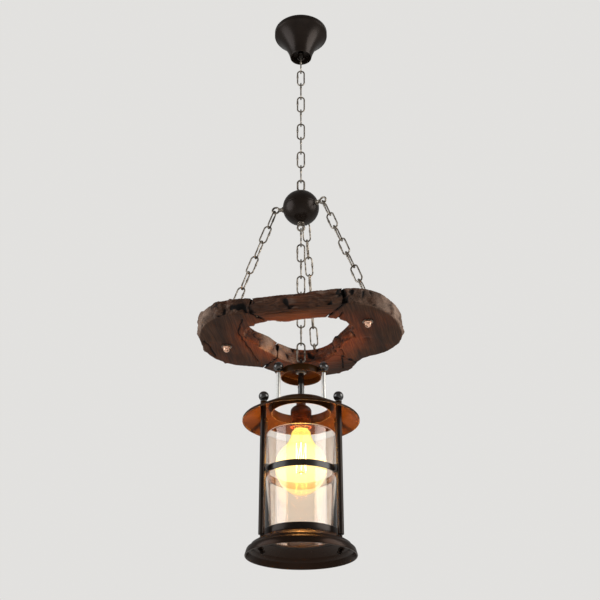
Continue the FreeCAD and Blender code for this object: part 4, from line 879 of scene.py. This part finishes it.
for bead in range(bead_count):
    bead_high = sleeve_high - 1.0 - bead * bead_pitch
    sleeve += [(holder_radius, bead_high), (holder_radius, bead_high - 2.4), (19.1, bead_high - 2.9)]
sleeve += [(19.4, sleeve_low + 5), (holder_radius, sleeve_low + 4), (holder_radius, sleeve_low + 1.2),
           (18.5, sleeve_low), (holder_bore, sleeve_low)]
holder_sleeve = rounded_edges(spun("holder_sleeve", sleeve, 80), 0.25)
fitted(holder_sleeve, bakelite, "lantern", "bakelite", "lampholder_sleeve")
dress(finish("ceramic", ceramic_look, {"Specular IOR Level": 0.4}), "socket_insert")
dress(plain_brass, "socket_shell", "centre_contact")

# Lamp: a clear globe with a flared throat on a rolled brass screw cap, with a solder contact, a black glass
# insulator, and a glass stem that carries the wire supports.


def lamp_glass_look(place):
    height = place.node("SeparateXYZ", {}, {"Vector": place}, "Z") * (1 / mm)
    upper = height.rise(belly - 46, belly + 6)
    throat_glow = height.rise(belly + 18, belly + 52)
    glow = upper.tint((0.15, 0.095, 0.030, 1), (0.36, 0.31, 0.155, 1))
    return {
        "Base Color": upper.tint((1.0, 0.92, 0.76, 1), (1.0, 0.93, 0.66, 1)),
        "Emission Color": throat_glow.tint(glow, (0.33, 0.27, 0.070, 1)),
        "Roughness": place.grain(60, 2.0) * 0.04,
    }


def hot_look(place):
    flicker = place.grain(900, 2.0)
    return {"Emission Color": flicker.tint((1.0, 0.55, 0.16, 1), (1.0, 0.78, 0.38, 1)),
            "Roughness": 0.3 + flicker * 0.2}


lamp_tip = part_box("bulb_contact")[1].z / mm
globe_radius, globe_wall, globe_length, flare = 47.5, 1.0, 116.5, 44.7
throat_radius, throat_drop, stem_radius, stem_length = 17.3, 6, 12.5, 8
cap_top, cap_foot = lamp_tip - 3.2, lamp_tip - 28.2
mouth, foot = cap_foot + stem_length, cap_foot - globe_length
belly = foot + globe_radius
lamp_glass = finish("lamp_glass", lamp_glass_look, {
    "Transmission Weight": 1.0, "IOR": 1.12, "Emission Strength": 1.0})
hot_wire = finish("hot_wire", hot_look, {"Base Color": (1.0, 0.75, 0.4, 1), "Emission Strength": 40.0})
thread_turns, thread_pitch = 5, 3.63
screw_cap = [(0, cap_top), (10.8, cap_top), (12.2, cap_top - 1.6)]
for turn in range(thread_turns):
    crest = cap_top - 3.2 - turn * thread_pitch
    screw_cap += [(13.1, crest), (13.0, crest - 0.7), (12.1, crest - 1.8), (12.2, crest - 2.5)]
screw_cap += [(12.7, cap_foot + 1.4), (13.1, cap_foot), (12.7, cap_foot), (11.7, cap_top - 4),
              (10.4, cap_top - 0.4), (0, cap_top - 0.4)]
cap_piece = spun("lamp_screw_cap", screw_cap, 72)
bpy.ops.object.shade_smooth_by_angle(angle=math.radians(50))
fitted(cap_piece, plain_brass, "bulb", "contact_brass", "bulb_cap")
dress(plain_brass, "bulb_contact")
dress(moulded_black, "bulb_insulator")
tilt = math.radians(48)
lining_radius = globe_radius - globe_wall
outside = (globe_radius * math.cos(tilt), belly + globe_radius * math.sin(tilt))
lining = (lining_radius * math.cos(tilt), belly + lining_radius * math.sin(tilt))
throat = (throat_radius, cap_foot - throat_drop)
throat_lining = (throat_radius - globe_wall, cap_foot - throat_drop)
globe = [(stem_radius, mouth), (stem_radius, cap_foot - 0.6), (13.2, cap_foot - 1.6), (16.4, cap_foot - 4.4),
         throat]
globe += bow(throat, outside, flare, 1, 18) + bow(outside, (0, foot), globe_radius, -1, 30)
globe += [(0, foot + globe_wall)] + bow((0, foot + globe_wall), lining, lining_radius, 1, 30)
globe += bow(lining, throat_lining, flare, -1, 18)
globe += [(15.5, cap_foot - 4.8), (12.3, cap_foot - 2.0), (stem_radius - globe_wall, cap_foot - 1),
          (stem_radius - globe_wall, mouth)]
globe_glass = spun("lamp_globe", globe, 112)
bpy.ops.object.shade_smooth_by_angle(angle=math.radians(40))
globe_glass.visible_shadow = False
fitted(globe_glass, lamp_glass, "bulb", "lamp_glass", "bulb_glass")
dress(clear_glass, "bulb_stem")
dress(old_pewter, "filament_support")

# Filament: one long wire that runs down, across and up again between the hooks of the two supports. It glows
# yellow at the lamp's full voltage.
hook_count, cage_radius, wire_radius = 6, 10, 0.4
hook_low, hook_high = (corner.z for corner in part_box("filament"))
hooks = [math.radians(360 / hook_count * hook) for hook in range(hook_count + 1)]
route = [(cage_radius * mm * math.sin(hook), -cage_radius * mm * math.cos(hook), level)
         for hook in hooks for level in (hook_high, hook_low)][:-1]
bpy.ops.object.select_all(action="DESELECT")
bpy.ops.mesh.primitive_plane_add(size=mm)
wire = bpy.context.object
wire.name = "lamp_filament"
bpy.ops.object.mode_set(mode="EDIT")
bpy.ops.mesh.merge(type="CENTER")
bpy.ops.transform.translate(value=route[0])
for start, end in zip(route, route[1:]):
    bpy.ops.mesh.extrude_vertices_move(TRANSFORM_OT_translate={"value": Vector(end) - Vector(start)})
bpy.ops.object.mode_set(mode="OBJECT")
bpy.ops.object.convert(target="CURVE")
wire.data.bevel_depth = wire_radius * mm
wire.data.bevel_resolution = 2
wire.data.use_fill_caps = True
bpy.ops.object.convert(target="MESH")
bpy.ops.object.mode_set(mode="EDIT")
bpy.ops.mesh.select_all(action="SELECT")
bpy.ops.mesh.remove_doubles(threshold=0.002 * mm)
bpy.ops.mesh.select_all(action="SELECT")
bpy.ops.mesh.normals_make_consistent(inside=False)
bpy.ops.object.mode_set(mode="OBJECT")
bpy.ops.object.shade_smooth_by_angle(angle=math.radians(60))
fitted(wire, hot_wire, "bulb", "hot_wire", "filament")

# Studio: a plain pale floor well below the hanging lamp, a pale surround, soft lights, the lit lamp's own
# warm light and the camera that looks up at the lantern.
floor_size, floor_depth = 60, -2.6
pale_tone = (0.93, 0.92, 0.90, 1)


def floor_look(place):
    cloud = place.grain(2, 2.0)
    return {"Base Color": cloud.tint((0.78, 0.77, 0.75, 1), (0.82, 0.81, 0.79, 1)),
            "Roughness": 0.7 + cloud * 0.1}


bpy.ops.object.select_all(action="DESELECT")
bpy.ops.mesh.primitive_plane_add(size=floor_size, location=(0, 0, floor_depth))
floor = bpy.context.object
floor.name = "floor"
floor.data.materials.append(finish("floor", floor_look, {
    "Emission Color": pale_tone, "Emission Strength": 0.28}))

world = bpy.data.worlds.new("surround")
bpy.context.scene.world = world
world.use_nodes = True
sky = Paint(world.node_tree)
camera_ray = sky.node("LightPath", {}, {}, "Is Camera Ray")
through_ray = sky.node("LightPath", {}, {}, "Is Transmission Ray")
seen = sky.maths("MAXIMUM", camera_ray, through_ray)
backdrop = world.node_tree.nodes["Background"]
backdrop.inputs["Color"].default_value = pale_tone
world.node_tree.links.new((0.32 + seen * 0.5).socket, backdrop.inputs["Strength"])


def soft_light(name, spot, aim, size, power, colour):
    """A round soft box at a spot, turned to its aim."""
    light = bpy.data.lights.new(name, "AREA")
    light.shape = "DISK"
    light.size = size
    light.energy = power
    light.color = colour
    lamp = bpy.data.objects.new(name, light)
    lamp.location = spot
    lamp.rotation_euler = (Vector(aim) - Vector(spot)).to_track_quat("-Z", "Y").to_euler()
    bpy.context.scene.collection.objects.link(lamp)


soft_light("key", (2.4, -0.8, -0.1), (0, 0, -0.75), 2.4, 66, (1.0, 0.97, 0.93))
soft_light("fill", (-2.4, -0.7, -0.4), (0, 0, -0.8), 2.4, 44, (0.97, 0.98, 1.0))
soft_light("low", (0.2, -1.3, -2.3), (0, 0, -0.8), 1.6, 2, (1.0, 0.98, 0.95))
glow = bpy.data.lights.new("lamp_glow", "POINT")
glow.energy = 6.5
glow.shadow_soft_size = 0.030
glow.color = (1.0, 0.44, 0.11)
glow_lamp = bpy.data.objects.new("lamp_glow", glow)
glow_lamp.location = (0, 0, (hook_low + hook_high) / 2)
glow_lamp.visible_camera = False
glow_lamp.visible_transmission = False
bpy.context.scene.collection.objects.link(glow_lamp)
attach(glow_lamp, "bulb")

eye = bpy.data.cameras.new("eye")
eye.lens, eye.sensor_width = 61.2, 36
eye.clip_end = 60
viewer = bpy.data.objects.new("eye", eye)
viewer.location = (-0.002, -1.797, -1.656)
viewer.rotation_euler = (math.radians(118), 0, 0)
bpy.context.scene.collection.objects.link(viewer)
bpy.context.scene.camera = viewer
bpy.context.scene.view_settings.view_transform = "Standard"
